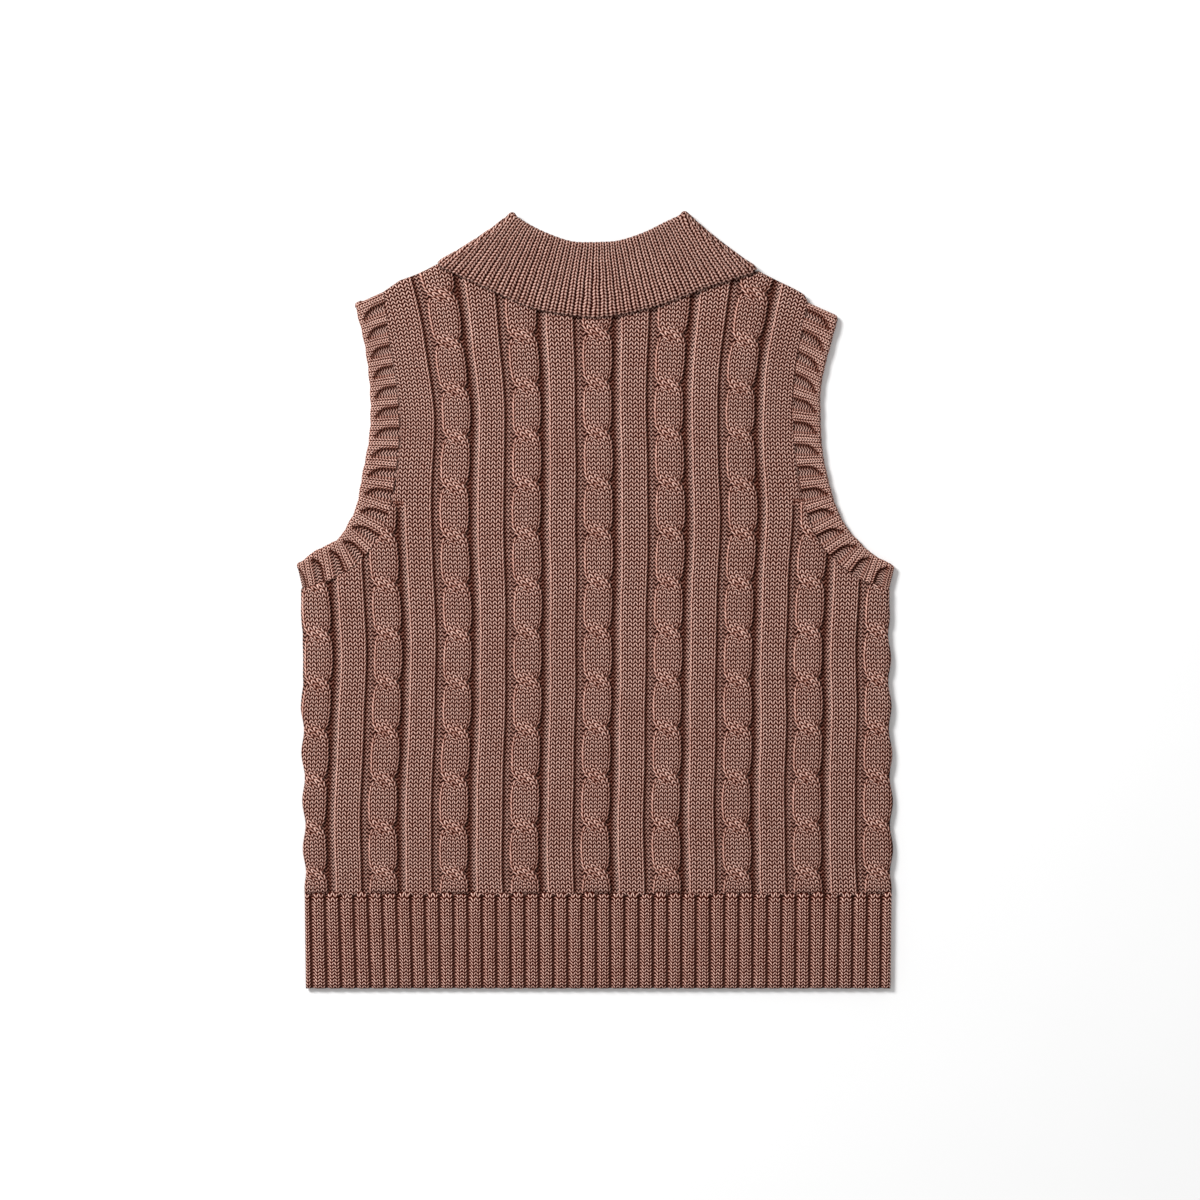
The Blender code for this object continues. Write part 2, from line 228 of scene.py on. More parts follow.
# How the yarn strays, with scales in features to the metre: the wales drift, the courses
# wobble, loose fibres stand up, and the colour is mottled and ruddy in places
DRIFT_SCALE, DRIFT = 110, 0.34
WOBBLE_SCALE, WOBBLE = 170, 0.5
FUZZ_SCALE, FUZZ = 1300, 0.15
MOTTLE_SCALE, MOTTLE_DETAIL = 42, 3
RUDDY_SCALE, RUDDY = 24, 0.12
RUDDY_COLOUR = (0.5, 0.21, 0.2, 1.0)

# The yarn's painted light and shade: the heights at which it is darkest and lightest, how far it
# varies from leg to leg, and how much darker painted shade makes it, also between the collar's ribs
DARK_LEVEL, LIT_LEVEL = 0.06, 0.68
LEAST_TONE, TONE_CHANCE = 0.9, 0.2
PAINTED_SHADE_SINKING = 0.35
PAINTED_SHADE_DARKENING, RIB_GAP_PAINTED_SHADE = 0.9, 0.97

# The yarn's surface
BUMP_STRENGTH = 0.85
ROUGHEST, CROWN_SMOOTHNESS = 0.98, 0.12
YARN_SPECULAR = 0.03

# The hem's ribs
HEM_PITCH = 10.9 * MM
HEM_FIRST_GROOVE = -216.9 * MM
HEM_GROOVE = 3.2 * MM
HEM_COURSE = 2.54 * MM
HEM_ROWS = 30
HEM_TONGUE, TONGUE_REACH = 2.0 * MM, 4 * MM
TONGUE_UNEVENNESS, TONGUE_TURN = 0.45, 2.4
HEM_SCALLOP, SCALLOP_REACH = 0.45 * MM, 5 * MM
HEM_GROOVE_TOP, HEM_GROOVE_RUN = -1.5 * MM, 2.4 * MM
HEM_FOOT_ROLL = 2.0 * MM
HEM_SWELL, HEM_SWELL_REACH = 0.25 * MM, 6 * MM
HEM_LEAN = Pull(-168 * MM, 40 * MM, 1.6 * MM)
# Painted shade at the top of each groove, where the hem meets the body; and the edge marks on a
# rib's outer legs, more on the left one, which paints it lighter as a painted highlight
HEM_TOP_SHADE, HEM_TOP_REACH = 0.5, 2.4 * MM
HEM_LEFT_EDGE, HEM_RIGHT_EDGE, HEM_EDGE_REACH = 0.45, 0.2, 0.2

# Columns of one hem rib: share of the way to the next, height and painted shade
HemColumn = namedtuple("HemColumn", "step rise shade")
HEM_COLUMNS = (
    HemColumn(0.0, 0.0, 0.65),
    HemColumn(0.1, 0.12, 0.25),
    HemColumn(0.165, 0.75, 0.0),
    HemColumn(0.24, 0.96, 0.0),
    HemColumn(0.36, 1.0, 0.0),
    HemColumn(0.5, 0.97, 0.0),
    HemColumn(0.64, 1.0, 0.0),
    HemColumn(0.76, 0.96, 0.0),
    HemColumn(0.835, 0.7, 0.25),
    HemColumn(0.9, 0.12, 0.8),
)
HEM_RIBS = range(-1, 42)

# The armhole bands' ribs
BAND_COURSE = 2.2 * MM
BAND_WIDTH = 23 * MM
BAND_ROWS = 22
BAND_STATIONS = 280
BAND_FOLD_STEPS = 7
BAND_EDGE_ROLL, BAND_EDGE_DEPTH = 2.4 * MM, 22 * MM
BAND_SCALLOP = 0.3 * MM
RIDGE_LINES = 0.12 * MM
BAND_WALES = 4
RIB_EDGE = 0.4

# A recess between the band's ridges, in shares of a rib along the band and of the band's
# width across: the curved cap that overhangs it, its foot and how far it reaches
POCKET_CAP, POCKET_FOOT, POCKET_REACH = 0.27, -0.26, 0.84
CAP_CURVE = 5
CAP_START, CAP_END = -0.07, 0.01
FOOT_SLOPE = 0.22
# Painted shade in a recess: a dark line just under its cap, where the ridge above shades it,
# another at its foot, more of it towards the band's free edge, and a little all through it
SHADE_INSET = 0.05
CAP_SHADE, CAP_SHADE_WIDTH = 0.8, 0.075
END_SHADE, FOOT_SHADE_WIDTH = 0.3, 0.06
END_SHADE_START, END_SHADE_END = 0.4, 0.72
RECESS_SHADE = 0.1
RECESS_PURL_START, RECESS_PURL_END = 0.1, 0.5

# The collar's ribs
COLLAR_COURSE = 2.5 * MM
TURN_RIBS, FRONT_RIBS = 3, 27
BACK_STATIONS, FRONT_STATIONS, CREASE_STEPS = 204, 150, 9
STAND_STEPS, FOLD_STEPS, FALL_STEPS = 5, 8, 19
COLLAR_GROOVE_START, COLLAR_GROOVE_END = 0.03, 0.25
COLLAR_EVENING = 0.75
COLLAR_FOLD_END, COLLAR_EDGE_START = 0.06, 0.94
LIFT_REACH = 0.6
COLLAR_EDGE_ROLL = 1.2 * MM
COLLAR_BEAD = 1.0 * MM

# How the collar's ribs are counted along its fold and along its edge, from the middle of
# the back: the first count, how many reach the side crease and how many more crowd in there
RibCount = namedtuple("RibCount", "first even crowded")
FOLD_RIBS = {"left": RibCount(-0.28, 16.0, -0.6), "right": RibCount(-0.72, 18.1, -1.9)}
EDGE_RIBS = {"left": RibCount(-0.5, 12.25, 7.7), "right": RibCount(-0.5, 13.9, 6.8)}
FOLD_CROWDING, EDGE_CROWDING = 6, 2
FAN, FAN_EASING = 1.4, 0.4

SideRow = namedtuple("SideRow", "x y")
BandRow = namedtuple("BandRow", "seam_x seam_y edge_x edge_y")
CollarRow = namedtuple("CollarRow", "seam_x seam_y fold_x fold_y edge_x edge_y")

# In every table x is the distance out from the garment's middle line, in millimetres,
# and y is the distance along it. Side seam from the hem's lower corner to the underarm.
SIDE_LINE = {
    "left": (
        SideRow(221.3, -297.2),
        SideRow(222.2, -226.0),
        SideRow(223.0, -150.0),
        SideRow(224.4, -70.0),
        SideRow(225.0, 8.0),
    ),
    "right": (
        SideRow(225.3, -297.2),
        SideRow(226.1, -226.0),
        SideRow(226.0, -150.0),
        SideRow(224.8, -70.0),
        SideRow(224.5, 8.0),
    ),
}

# Armhole band from the underarm fold to the shoulder fold
BAND = {
    "left": (
        BandRow(221.0, 8.8, 225.5, 28.5),
        BandRow(209.5, 12.2, 213.8, 37.2),
        BandRow(196.0, 17.8, 202.0, 43.0),
        BandRow(182.0, 27.2, 195.0, 48.0),
        BandRow(168.0, 43.0, 188.6, 58.6),
        BandRow(158.8, 61.0, 182.6, 71.5),
        BandRow(153.0, 92.0, 178.2, 95.0),
        BandRow(149.6, 127.0, 172.6, 127.0),
        BandRow(151.5, 163.0, 172.3, 160.0),
        BandRow(157.2, 198.5, 176.3, 193.9),
        BandRow(161.1, 232.8, 183.2, 222.9),
    ),
    "right": (
        BandRow(221.0, 8.5, 225.5, 27.0),
        BandRow(203.0, 15.0, 211.5, 34.8),
        BandRow(184.2, 28.7, 201.0, 44.5),
        BandRow(171.0, 43.5, 191.5, 55.5),
        BandRow(163.0, 61.0, 184.0, 70.5),
        BandRow(157.5, 82.0, 179.2, 86.0),
        BandRow(152.5, 112.0, 173.5, 112.0),
        BandRow(150.6, 143.0, 171.8, 140.0),
        BandRow(153.0, 178.0, 173.0, 168.0),
        BandRow(161.1, 223.6, 184.6, 213.2),
    ),
}

# First recess from the underarm along the band, and the distance to the next one
BAND_RIBS = {"left": (12.2 * MM, 15.4 * MM), "right": (5.0 * MM, 16.6 * MM)}

# Shoulder edge from the collar's corner to the armhole band
SHOULDER = {
    "left": (SideRow(119.5, 256.8), SideRow(135.0, 248.9), SideRow(149.6, 243.6)),
    "right": (SideRow(124.5, 250.6), SideRow(138.8, 243.4), SideRow(152.6, 236.8),
              SideRow(159.6, 232.6)),
}

# Collar from the middle of the back to the side crease
COLLAR_BACK = {
    "left": (
        CollarRow(0.0, 240.0, 0.0, 269.6, 0.0, 214.8),
        CollarRow(21.5, 242.0, 17.5, 270.2, 24.0, 217.6),
        CollarRow(43.0, 248.5, 34.5, 275.4, 51.0, 223.2),
        CollarRow(63.0, 259.5, 50.0, 282.6, 82.0, 237.0),
        CollarRow(80.7, 274.4, 61.9, 290.1, 117.2, 253.0),
    ),
    "right": (
        CollarRow(0.0, 240.0, 0.0, 269.6, 0.0, 214.8),
        CollarRow(22.0, 241.5, 18.0, 271.0, 25.0, 218.6),
        CollarRow(45.0, 248.5, 37.5, 277.2, 53.0, 225.8),
        CollarRow(66.0, 260.0, 53.5, 285.0, 84.0, 237.6),
        CollarRow(84.1, 274.5, 66.2, 291.2, 119.6, 248.7),
    ),
}

# Collar from the side crease to its end at the bottom of the front opening
COLLAR_FRONT = {
    "left": (
        CollarRow(80.7, 274.4, 61.9, 290.1, 117.2, 253.0),
        CollarRow(56.5, 225.6, 41.0, 236.0, 93.0, 205.0),
        CollarRow(32.2, 176.8, 21.0, 183.5, 69.5, 157.5),
        CollarRow(8.0, 128.0, 4.0, 134.0, 46.0, 110.0),
    ),
    "right": (
        CollarRow(84.1, 274.5, 66.2, 291.2, 119.6, 248.7),
        CollarRow(58.7, 225.6, 43.0, 236.0, 95.0, 202.5),
        CollarRow(33.4, 176.8, 22.0, 183.5, 70.5, 156.5),
        CollarRow(8.0, 128.0, 4.0, 134.0, 46.0, 110.0),
    ),
}

# Soft ridges that the cloth keeps from being laid down: where each starts and ends, how
# far it reaches to either side and how high it stands, all in millimetres
Ridge = namedtuple("Ridge", "start end reach height")
RIDGE_TAPER = 0.7
BACK_RIDGES = (
    Ridge((-212, -6), (-150, -64), 13, 1.0),
    Ridge((206, -2), (158, -70), 15, 0.9),
    Ridge((-120, 236), (-96, 150), 16, 0.8),
    Ridge((128, 222), (104, 128), 18, 0.7),
    Ridge((-60, -150), (40, -176), 22, 0.6),
    Ridge((96, -60), (150, -120), 20, 0.5),
)
FRONT_RIDGES = (
    Ridge((-204, -14), (-140, -52), 12, 0.5),
    Ridge((196, -8), (150, -60), 14, 0.5),
    Ridge((-70, -120), (30, -168), 18, 0.4),
    Ridge((60, 20), (110, -40), 16, 0.4),
)

# Studio
FLOOR_REACH = 15
PAPER_PALE, PAPER_SHADED = (0.96, 0.96, 0.96, 1.0), (0.94, 0.94, 0.94, 1.0)
PAPER_GRAIN_SCALE, PAPER_GRAIN_DETAIL = 9, 3
PAPER_ROUGHNESS, PAPER_SPECULAR = 0.95, 0.1
KEY_PLACE, KEY_SIZE = (-2.1, 1.9, 2.7), 1.06
AIM_X, AIM_Y = 3.4 * MM, -0.2 * MM


class YarnSettings(bpy.types.PropertyGroup):
    """Colours of the cotton yarn, with painted light and shade: lit on a loop's crown, in half
    shade on its side and shaded deep between loops.
    """

    lit: FloatVectorProperty(
        name="Yarn", description="Colour on the crown of a loop",
        subtype="COLOR", size=3, min=0, max=1, default=(0.84, 0.56, 0.475))
    middle: FloatVectorProperty(
        name="Yarn in half shade", description="Colour on the side of a loop",
        subtype="COLOR", size=3, min=0, max=1, default=(0.7, 0.24, 0.145))
    shaded: FloatVectorProperty(
        name="Between loops", description="Colour deep between two loops",
        subtype="COLOR", size=3, min=0, max=1, default=(0.03, 0.003, 0.001))
    mottle: FloatProperty(
        name="Mottle", description="How much the yarn's colour drifts from place to place",
        subtype="FACTOR", min=0, max=1, default=0.16)
    loop_height: FloatProperty(
        name="Loop height", description="Height of a loop's crown above the gaps beside it",
        subtype="DISTANCE", unit="LENGTH", min=0, max=0.003, default=0.0007)


class ReliefSettings(bpy.types.PropertyGroup):
    """Depths of the knitted relief."""

    stripe_top: FloatProperty(
        name="Stripe", description="Height of a plain stripe above the middle plane",
        subtype="DISTANCE", unit="LENGTH", min=0.001, max=0.006, default=0.00345)
    groove_floor: FloatProperty(
        name="Groove", description="Height of a purl groove above the middle plane",
        subtype="DISTANCE", unit="LENGTH", min=0.0005, max=0.003, default=0.0016)
    cable_top: FloatProperty(
        name="Cable", description="Height of a cable's crown above the middle plane",
        subtype="DISTANCE", unit="LENGTH", min=0.002, max=0.008, default=0.0043)
    crossing_lift: FloatProperty(
        name="Crossing", description="How far the upper strand rises where strands cross",
        subtype="DISTANCE", unit="LENGTH", min=0, max=0.003, default=0.0007)
    hem_groove: FloatProperty(
        name="Hem groove", description="Depth of the grooves between the hem's ribs",
        subtype="DISTANCE", unit="LENGTH", min=0, max=0.003, default=0.0021)
    band_recess: FloatProperty(
        name="Band recess", description="Depth of the recesses between the band's ribs",
        subtype="DISTANCE", unit="LENGTH", min=0, max=0.003, default=0.0018)
    collar_groove: FloatProperty(
        name="Collar groove", description="Depth of the grooves between the collar's ribs",
        subtype="DISTANCE", unit="LENGTH", min=0, max=0.002, default=0.0013)
    collar_lift: FloatProperty(
        name="Collar lift", description="How far the collar's back fall stands off the cables",
        subtype="DISTANCE", unit="LENGTH", min=0, max=0.004, default=0.0011)


class StudioSettings(bpy.types.PropertyGroup):
    """Light and camera."""

    key_power: FloatProperty(
        name="Key light", description="Power of the soft light at the upper left",
        unit="POWER", min=0, max=2000, default=153)
    fill: FloatProperty(
        name="Fill", description="Strength of the even light from all round",
        min=0, max=2, default=0.5)
    camera_height: FloatProperty(
        name="Camera height", description="Height of the camera above the floor",
        subtype="DISTANCE", unit="LENGTH", min=1, max=6, default=3.2)
    view_width: FloatProperty(
        name="View width", description="Width of the floor that the camera sees",
        subtype="DISTANCE", unit="LENGTH", min=0.5, max=2, default=0.918)


# --------------------------------------------------------------------------------------
# Plan of the garment


def unit(vectors):
    """Vectors along the last axis, each at length one."""
    return vectors / np.linalg.norm(vectors, axis=-1, keepdims=True)


def smooth(value, start, end):
    """Share of the way from start to end, eased at both."""
    share = np.clip((value - start) / (end - start), 0, 1)
    return share ** 2 * (3 - 2 * share)


def bell(distance, reach):
    """A bell curve: 1 at no distance, and falling off over the reach."""
    return np.exp(-(distance / reach) ** 2)


def stations(rows, segments):
    """Evenly stepped stations of the smooth curve through a table's rows, in metres."""
    rows = np.array(rows, float) * MM
    knots = np.vstack((2 * rows[0] - rows[1], rows, 2 * rows[-1] - rows[-2]))
    curve = []
    for position in np.linspace(0, len(rows) - 1, segments + 1):
        span = min(int(position), len(rows) - 2)
        t = position - span
        before, start, end, after = knots[span:span + 4]
        straight = 2 * start + (end - before) * t
        bend = (2 * before - 5 * start + 4 * end - after) * t ** 2
        twist = (3 * start - before - 3 * end + after) * t ** 3
        curve.append((straight + bend + twist) / 2)
    return np.array(curve)


def outside(points, start, end):
    """Distance of plan points beyond the line from start to end, on its outer side."""
    along = unit(end - start)
    across = np.array((-along[1], along[0]))
    return (points - start) @ across


def middle_height(points):
    """Height of the middle plane between the panels, above plan points."""
    folded = np.stack((np.abs(points[..., 0]), points[..., 1]), axis=-1)
    beyond = np.maximum(outside(folded, LEAF_CORNER, LEAF_POINT),
                        outside(folded, LEAF_POINT, LEAF_MIDDLE))
    fade = 1 - smooth(beyond, 0, RISE_REACH)
    return PANEL_OUTER + (FALL_OUTER - PANEL_OUTER) * fade


def ridge_height(points, ridges):
    """Height of the cloth's soft ridges at plan points."""
    total = np.zeros(points.shape[:-1])
    for ridge in ridges:
        start = np.array(ridge.start) * MM
        run = np.array(ridge.end) * MM - start
        share = np.clip((points - start) @ run / (run @ run), 0, 1)
        gap = np.linalg.norm(points - start - share[..., np.newaxis] * run, axis=-1)
        taper = 1 - (2 * share - 1) ** 4 * RIDGE_TAPER
        total += ridge.height * MM * taper * bell(gap, ridge.reach * MM)
    return total


def waves(points):
    """Slow rise and fall of the upper layers, from 0 to about half a millimetre."""
    x, y = points[..., 0] / MM, points[..., 1] / MM
    swell = np.sin(x / WAVE_ACROSS + ACROSS_START) * np.sin(y / WAVE_ALONG + ALONG_START)
    swell = swell + SLANTED_SHARE * np.sin((x + SLANT * y) / WAVE_SLANTED)
    return WAVE_HEIGHT * (swell + WAVE_RAISE)


def raised(plan, height):
    """Plan points at a height from the middle plane; upper layers follow the ridges."""
    level = middle_height(plan) + height
    share = np.clip(height / PANEL_OUTER, 0, 1)
    level = level + share * (waves(plan) + ridge_height(plan, BACK_RIDGES))
    return np.concatenate((plan, level[..., np.newaxis]), axis=-1)


def turned(plan, height, outward, angle):
    """Plan points at a height from the middle plane, turned round a side crease."""
    moved = plan + outward * height[..., np.newaxis] * math.sin(angle)
    return raised(moved, height * math.cos(angle))


def mirrored(points, side):
    """Points given outward from the middle line, placed on one side of the garment."""
    placed = points.copy()
    placed[..., 0] *= OUTWARD[side]
    return placed


def band_fold(row):
    """Outward direction of a band's fold at one end of its half ring."""
    along = unit(row[2:4] - row[0:2])
    return np.array((along[1], -along[0]))


def crease_normal(row):
    """Outward direction across the collar's side crease."""
    along = unit(row[2:4] - row[4:6])
    return np.array((along[1], -along[0]))


def side_crease(row, share):
    """Point on the collar's side crease, at a share of the way from fold to edge."""
    fold, edge = row[2:4], row[4:6]
    return fold + (edge - fold) * share - crease_normal(row) * SIDE_BOW * 4 * share * (1 - share)


def side_seam(side):
    """A panel's side fold, where the outermost cable's links bulge a little."""
    line = stations(SIDE_LINE[side][1:], SIDE_STEPS)
    course = (line[:, 1] - FIRST_CROSSING_Y) / COURSE_HEIGHT
    fade = smooth(course, FIRST_COURSE, 0) * (1 - smooth(line[:, 1], BULGE_END, 0))
    line[:, 0] -= LINK_BULGE * fade * np.cos(2 * math.pi * course / COURSES_PER_CROSSING)
    return line


def armhole_line(side):
    """A panel's seam round the armhole, from the underarm to the shoulder."""
    band = stations(BAND[side], ARMHOLE_STEPS)
    seam = band[:, 0:2] + unit(band[:, 2:4] - band[:, 0:2]) * SEAM_OVERLAP
    underarm = seam[0] + band_fold(band[0]) * PANEL_OUTER * FOLD_SHARE
    shoulder = seam[-1] - band_fold(band[-1]) * PANEL_OUTER * FOLD_SHARE
    return np.vstack((underarm, seam, shoulder))


def shoulder_line(side):
    """A panel's shoulder edge, from the armhole to the neck under the collar's crease."""
    crease = stations(COLLAR_BACK[side], 4)[-1]
    inset = -crease_normal(crease) * SHOULDER_INSET
    covered = [side_crease(crease, 1.0) + inset, side_crease(crease, 0.7) + inset]
    shown = stations(SHOULDER[side][::-1], SHOULDER_STEPS)
    return np.vstack((shown, covered))


def panel_border(neck):
    """A panel's closed border and the radius of the roll at each of its stretches."""
    halves = {}
    for side in OUTWARD:
        neck_rows = neck[side] if neck is COLLAR_FRONT else neck[side][::-1]
        stretches = (
            (side_seam(side), SIDE_ROLL),
            (armhole_line(side), ARMHOLE_ROLL),
            (shoulder_line(side), SHOULDER_ROLL),
            (stations(neck_rows, NECK_STEPS)[:, 0:2], NECK_ROLL),
        )
        points = np.vstack([line for line, _ in stretches])
        rolls = np.concatenate([np.full(len(line), roll) for line, roll in stretches])
        halves[side] = (mirrored(points, side), rolls)
    (left, left_rolls), (right, right_rolls) = halves["left"], halves["right"]
    border = np.vstack((left, right[::-1]))
    rolls = np.concatenate((left_rolls[:-1], right_rolls[::-1], (HEM_ROLL,)))
    return border, rolls


def border_distance(points, border, rolls):
    """How far plan points lie inside a border, their nearest border points and rolls."""
    run = np.roll(border, -1, axis=0) - border
    length = np.maximum((run ** 2).sum(axis=1), 1e-12)
    offset = points[:, np.newaxis] - border
    share = np.clip((offset * run).sum(axis=2) / length, 0, 1)
    feet = border + share[..., np.newaxis] * run
    gaps = np.linalg.norm(points[:, np.newaxis] - feet, axis=2)
    nearest = gaps.argmin(axis=1)
    picked = np.arange(len(points))
    low, high = border[:, 1], border[:, 1] + run[:, 1]
    level = points[:, 1:2]
    crossing = (low > level) != (high > level)
    slope = run[:, 0] / np.where(run[:, 1] == 0, 1e-12, run[:, 1])
    to_right = points[:, 0:1] < border[:, 0] + (level - low) * slope
    inside = (crossing & to_right).sum(axis=1) % 2 == 1
    depth = np.where(inside, gaps[picked, nearest], -gaps[picked, nearest])
    return depth, feet[picked, nearest], rolls[nearest]


# --------------------------------------------------------------------------------------
# Walls of cloth


# Each weave's grid starts as a square of this half width, with its first and last stations
# beyond the grid's end. A ring's two ends are merged once they lie on each other.
GRID_REACH, GRID_END = 0.5, 0.499
MERGE_DISTANCE = 0.001 * MM


class Weave:
    """A sheet of stitches: points over and under it, its stitch map and its marks.

    Every array is indexed by station and column. A mark is a value from 0 to 1.
    """

    def __init__(self, over, under, stitch, marks, keep=None, ring=False):
        self.shape = over.shape[:2]
        self.over = over.reshape(-1, 3)
        self.under = under.reshape(-1, 3)
        self.stitch = stitch.reshape(-1, 2)
        self.marks = {name: np.broadcast_to(value, self.shape).ravel()
                      for name, value in marks.items()}
        self.keep = np.ones(self.shape, bool) if keep is None else keep
        self.keep = self.keep.ravel()
        self.ring = ring


# Marks that each vertex carries: purl stitches; edges, whose legs stand steeper with closed gaps,
# which also paints them lighter; stretch at the crossings; painted shade; and how much painted
# shade falls between the collar's ribs
MARKS = ("purl", "edge", "stretch", "cavity", "rib")


def lay_grid(wall, weave, place, start):
    """Add a weave's grid to a wall, each vertex holding its place in the weave."""
    last_station, last_column = weave.shape[0] - 1, weave.shape[1] - 1
    made = bmesh.ops.create_grid(wall, x_segments=last_station, y_segments=last_column,
                                 size=GRID_REACH)
    for vert in made["verts"]:
        station = round((vert.co.x + GRID_REACH) * last_station)
        column = round((vert.co.y + GRID_REACH) * last_column)
        vert[place] = start + station * weave.shape[1] + column


def closed_wall(weaves):
    """The weaves' closed walls with their stitch map, each vertex holding its place."""
    over = np.vstack([weave.over for weave in weaves])
    under = np.vstack([weave.under for weave in weaves])
    stitch = np.vstack([weave.stitch for weave in weaves])
    keep = np.concatenate([weave.keep for weave in weaves])
    wall = bmesh.new()
    place = wall.verts.layers.int.new("place")
    start = 0
    for weave in weaves:
        lay_grid(wall, weave, place, start)
        start += len(weave.over)
    dropped = [face for face in wall.faces if not any(keep[vert[place]] for vert in face.verts)]
    bmesh.ops.delete(wall, geom=dropped, context="FACES")
    near = list(wall.verts)
    grown = bmesh.ops.extrude_face_region(wall, geom=wall.faces[:], use_keep_orig=True)["geom"]
    far = [item for item in grown if isinstance(item, bmesh.types.BMVert)]
    ring = weaves[0].ring
    if ring:
        ends = [face for face in wall.faces
                if all(abs(vert.co.x) > GRID_END for vert in face.verts)]
        bmesh.ops.delete(wall, geom=ends, context="FACES_ONLY")
    for verts, sheet in ((near, under), (far, over)):
        for vert in verts:
            vert.co = sheet[vert[place]]
    stitch_map = wall.loops.layers.uv.new("stitch")
    for face in wall.faces:
        for loop in face.loops:
            loop[stitch_map].uv = stitch[loop.vert[place]]
    if ring:
        bmesh.ops.remove_doubles(wall, verts=wall.verts[:], dist=MERGE_DISTANCE)
    bmesh.ops.recalc_face_normals(wall, faces=wall.faces[:])
    if wall.calc_volume(signed=True) < 0:
        bmesh.ops.reverse_faces(wall, faces=wall.faces[:])
    return wall


def add_marks(mesh, weaves):
    """Give a mesh its weaves' marks, by the place that each vertex holds."""
    places = np.zeros(len(mesh.vertices), np.int32)
    mesh.attributes["place"].data.foreach_get("value", places)
    mesh.attributes.remove(mesh.attributes["place"])
    for mark in MARKS:
        values = np.concatenate([weave.marks.get(mark, np.zeros(weave.shape).ravel())
                                 for weave in weaves])
        attribute = mesh.attributes.new(mark, "FLOAT", "POINT")
        attribute.data.foreach_set("value", values[places].astype(np.float32))


def cloth(name, weaves, finish):
    """One piece of cloth with closed walls, made from its weaves."""
    wall = closed_wall(weaves)
    mesh = bpy.data.meshes.new(name)
    wall.to_mesh(mesh)
    wall.free()
    add_marks(mesh, weaves)
    mesh.materials.append(finish)
    mesh.shade_smooth()
    piece = bpy.data.objects.new(name, mesh)
    bpy.context.collection.objects.link(piece)
    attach(piece, "root")
    return piece


# --------------------------------------------------------------------------------------
# Body


def course_y(course):
    """Height up the garment of a course on its middle line."""
    return FIRST_CROSSING_Y + COURSE_HEIGHT * course + COURSE_GROWTH * course ** 2


def pulled(along, pull):
    """How strongly a pull acts at a distance along or across the garment."""
    return pull.amount * bell(along - pull.middle, pull.reach)


def spread_out(across, along):
    """Plan points of stitches, spread and drooping towards the shoulders."""
    run = np.clip(along - SPREAD_START, 0, None) / SPREAD_RUN
    wider = SPREAD * run ** 2
    slope = 2 * SPREAD * run / SPREAD_RUN
    wander = sum(way.amount * np.sin(along / way.up + across / way.across) for way in WANDERS)
    wander = wander - LEAN * smooth(along, LEAN_START, LEAN_END) + pulled(along, HIP_SWING)
    wider = wider + pulled(along, ARMHOLE_PULL) + pulled(along, WAIST_PULL)
    x = (across + wander) * (1 + wider)
    wave = COURSE_WAVE * np.sin(across / COURSE_WAVE_LENGTH + COURSE_WAVE_START)
    y = along - DROOP * slope * across ** 2 + wave
    y = y - LEFT_SAG * smooth(-across, SAG_START, SAG_END) * smooth(along, SAG_LOW, SAG_HIGH)
    return np.stack((x, y), axis=-1)


def shaded_columns(side, width, wale, wales, shades):
    """Flat purl columns across a bed or a groove, from its left side to its right, with their
    painted shade.
    """
    return [(side + width * share, wale + wales * share, 0.0, 1.0, 0.0, cavity)
            for share, cavity in shades]


def wall_column(side, wale, step, way, cavity):
    """A column on a stripe's wall, in from its side: rightward for a way of 1."""
    offset = way * step.offset * MM
    return side + offset, wale + offset / WALE, step.rise, float(offset == 0), WALL_EDGE, cavity


def body_columns():
    """Columns of the body: across, wale, relief, purl, edge and painted shade, as arrays."""
    columns = []
    for cable in CABLES:
        wale = (cable - CABLES[0]) * REPEAT_WALES
        side = CABLE_MIDDLE + cable * REPEAT - CABLE_WIDTH / 2
        columns += shaded_columns(side, CABLE_WIDTH, wale, CABLE_WALES, UNDER_CABLE)
        side += CABLE_WIDTH
        wale += CABLE_WALES
        columns += shaded_columns(side, GROOVE_WIDTH, wale, GROOVE_WALES, AFTER_CABLE)
        side += GROOVE_WIDTH
        wale += GROOVE_WALES
        for step in WALL_STEPS:
            columns.append(wall_column(side, wale, step, 1, LIT_WALL_SHADE * (1 - step.rise)))
        for half in range(1, 2 * STRIPE_WALES):
            edge = FIRST_WALE_EDGE if half == 1 else 0.0
            columns.append((side + half * WALE / 2, wale + half / 2, 1.0, 0.0, edge, 0.0))
        side += STRIPE_WIDTH
        wale += STRIPE_WALES
        for step in reversed(WALL_STEPS):
            columns.append(wall_column(side, wale, step, -1,
                                       FAR_WALL_SHADE * (1 - step.rise) ** 2))
        columns += shaded_columns(side, GROOVE_WIDTH, wale, GROOVE_WALES, AFTER_STRIPE)
    return np.array(columns).T


def plain_beside_armhole(across, along, start=OUTER_STRIPE):
    """Share by which the knitting is plain, out beyond the stripes that meet the armholes."""
    beyond = np.abs(across - CABLE_MIDDLE) > start
    return beyond * smooth(along, PLAIN_START, PLAIN_START + PLAIN_RUN)


def beyond_stripe(across, wale):
    """What turns a column's wale into a plain count of wales on from the outer stripes."""
    counted = (across - CABLE_MIDDLE) / WALE
    left_edge = np.interp(CABLE_MIDDLE - OUTER_STRIPE, across[0], wale)
    right_edge = np.interp(CABLE_MIDDLE + OUTER_STRIPE, across[0], wale)
    from_left = left_edge + OUTER_STRIPE / WALE
    from_right = right_edge - OUTER_STRIPE / WALE
    return counted + np.where(counted < 0, from_left, from_right) - wale


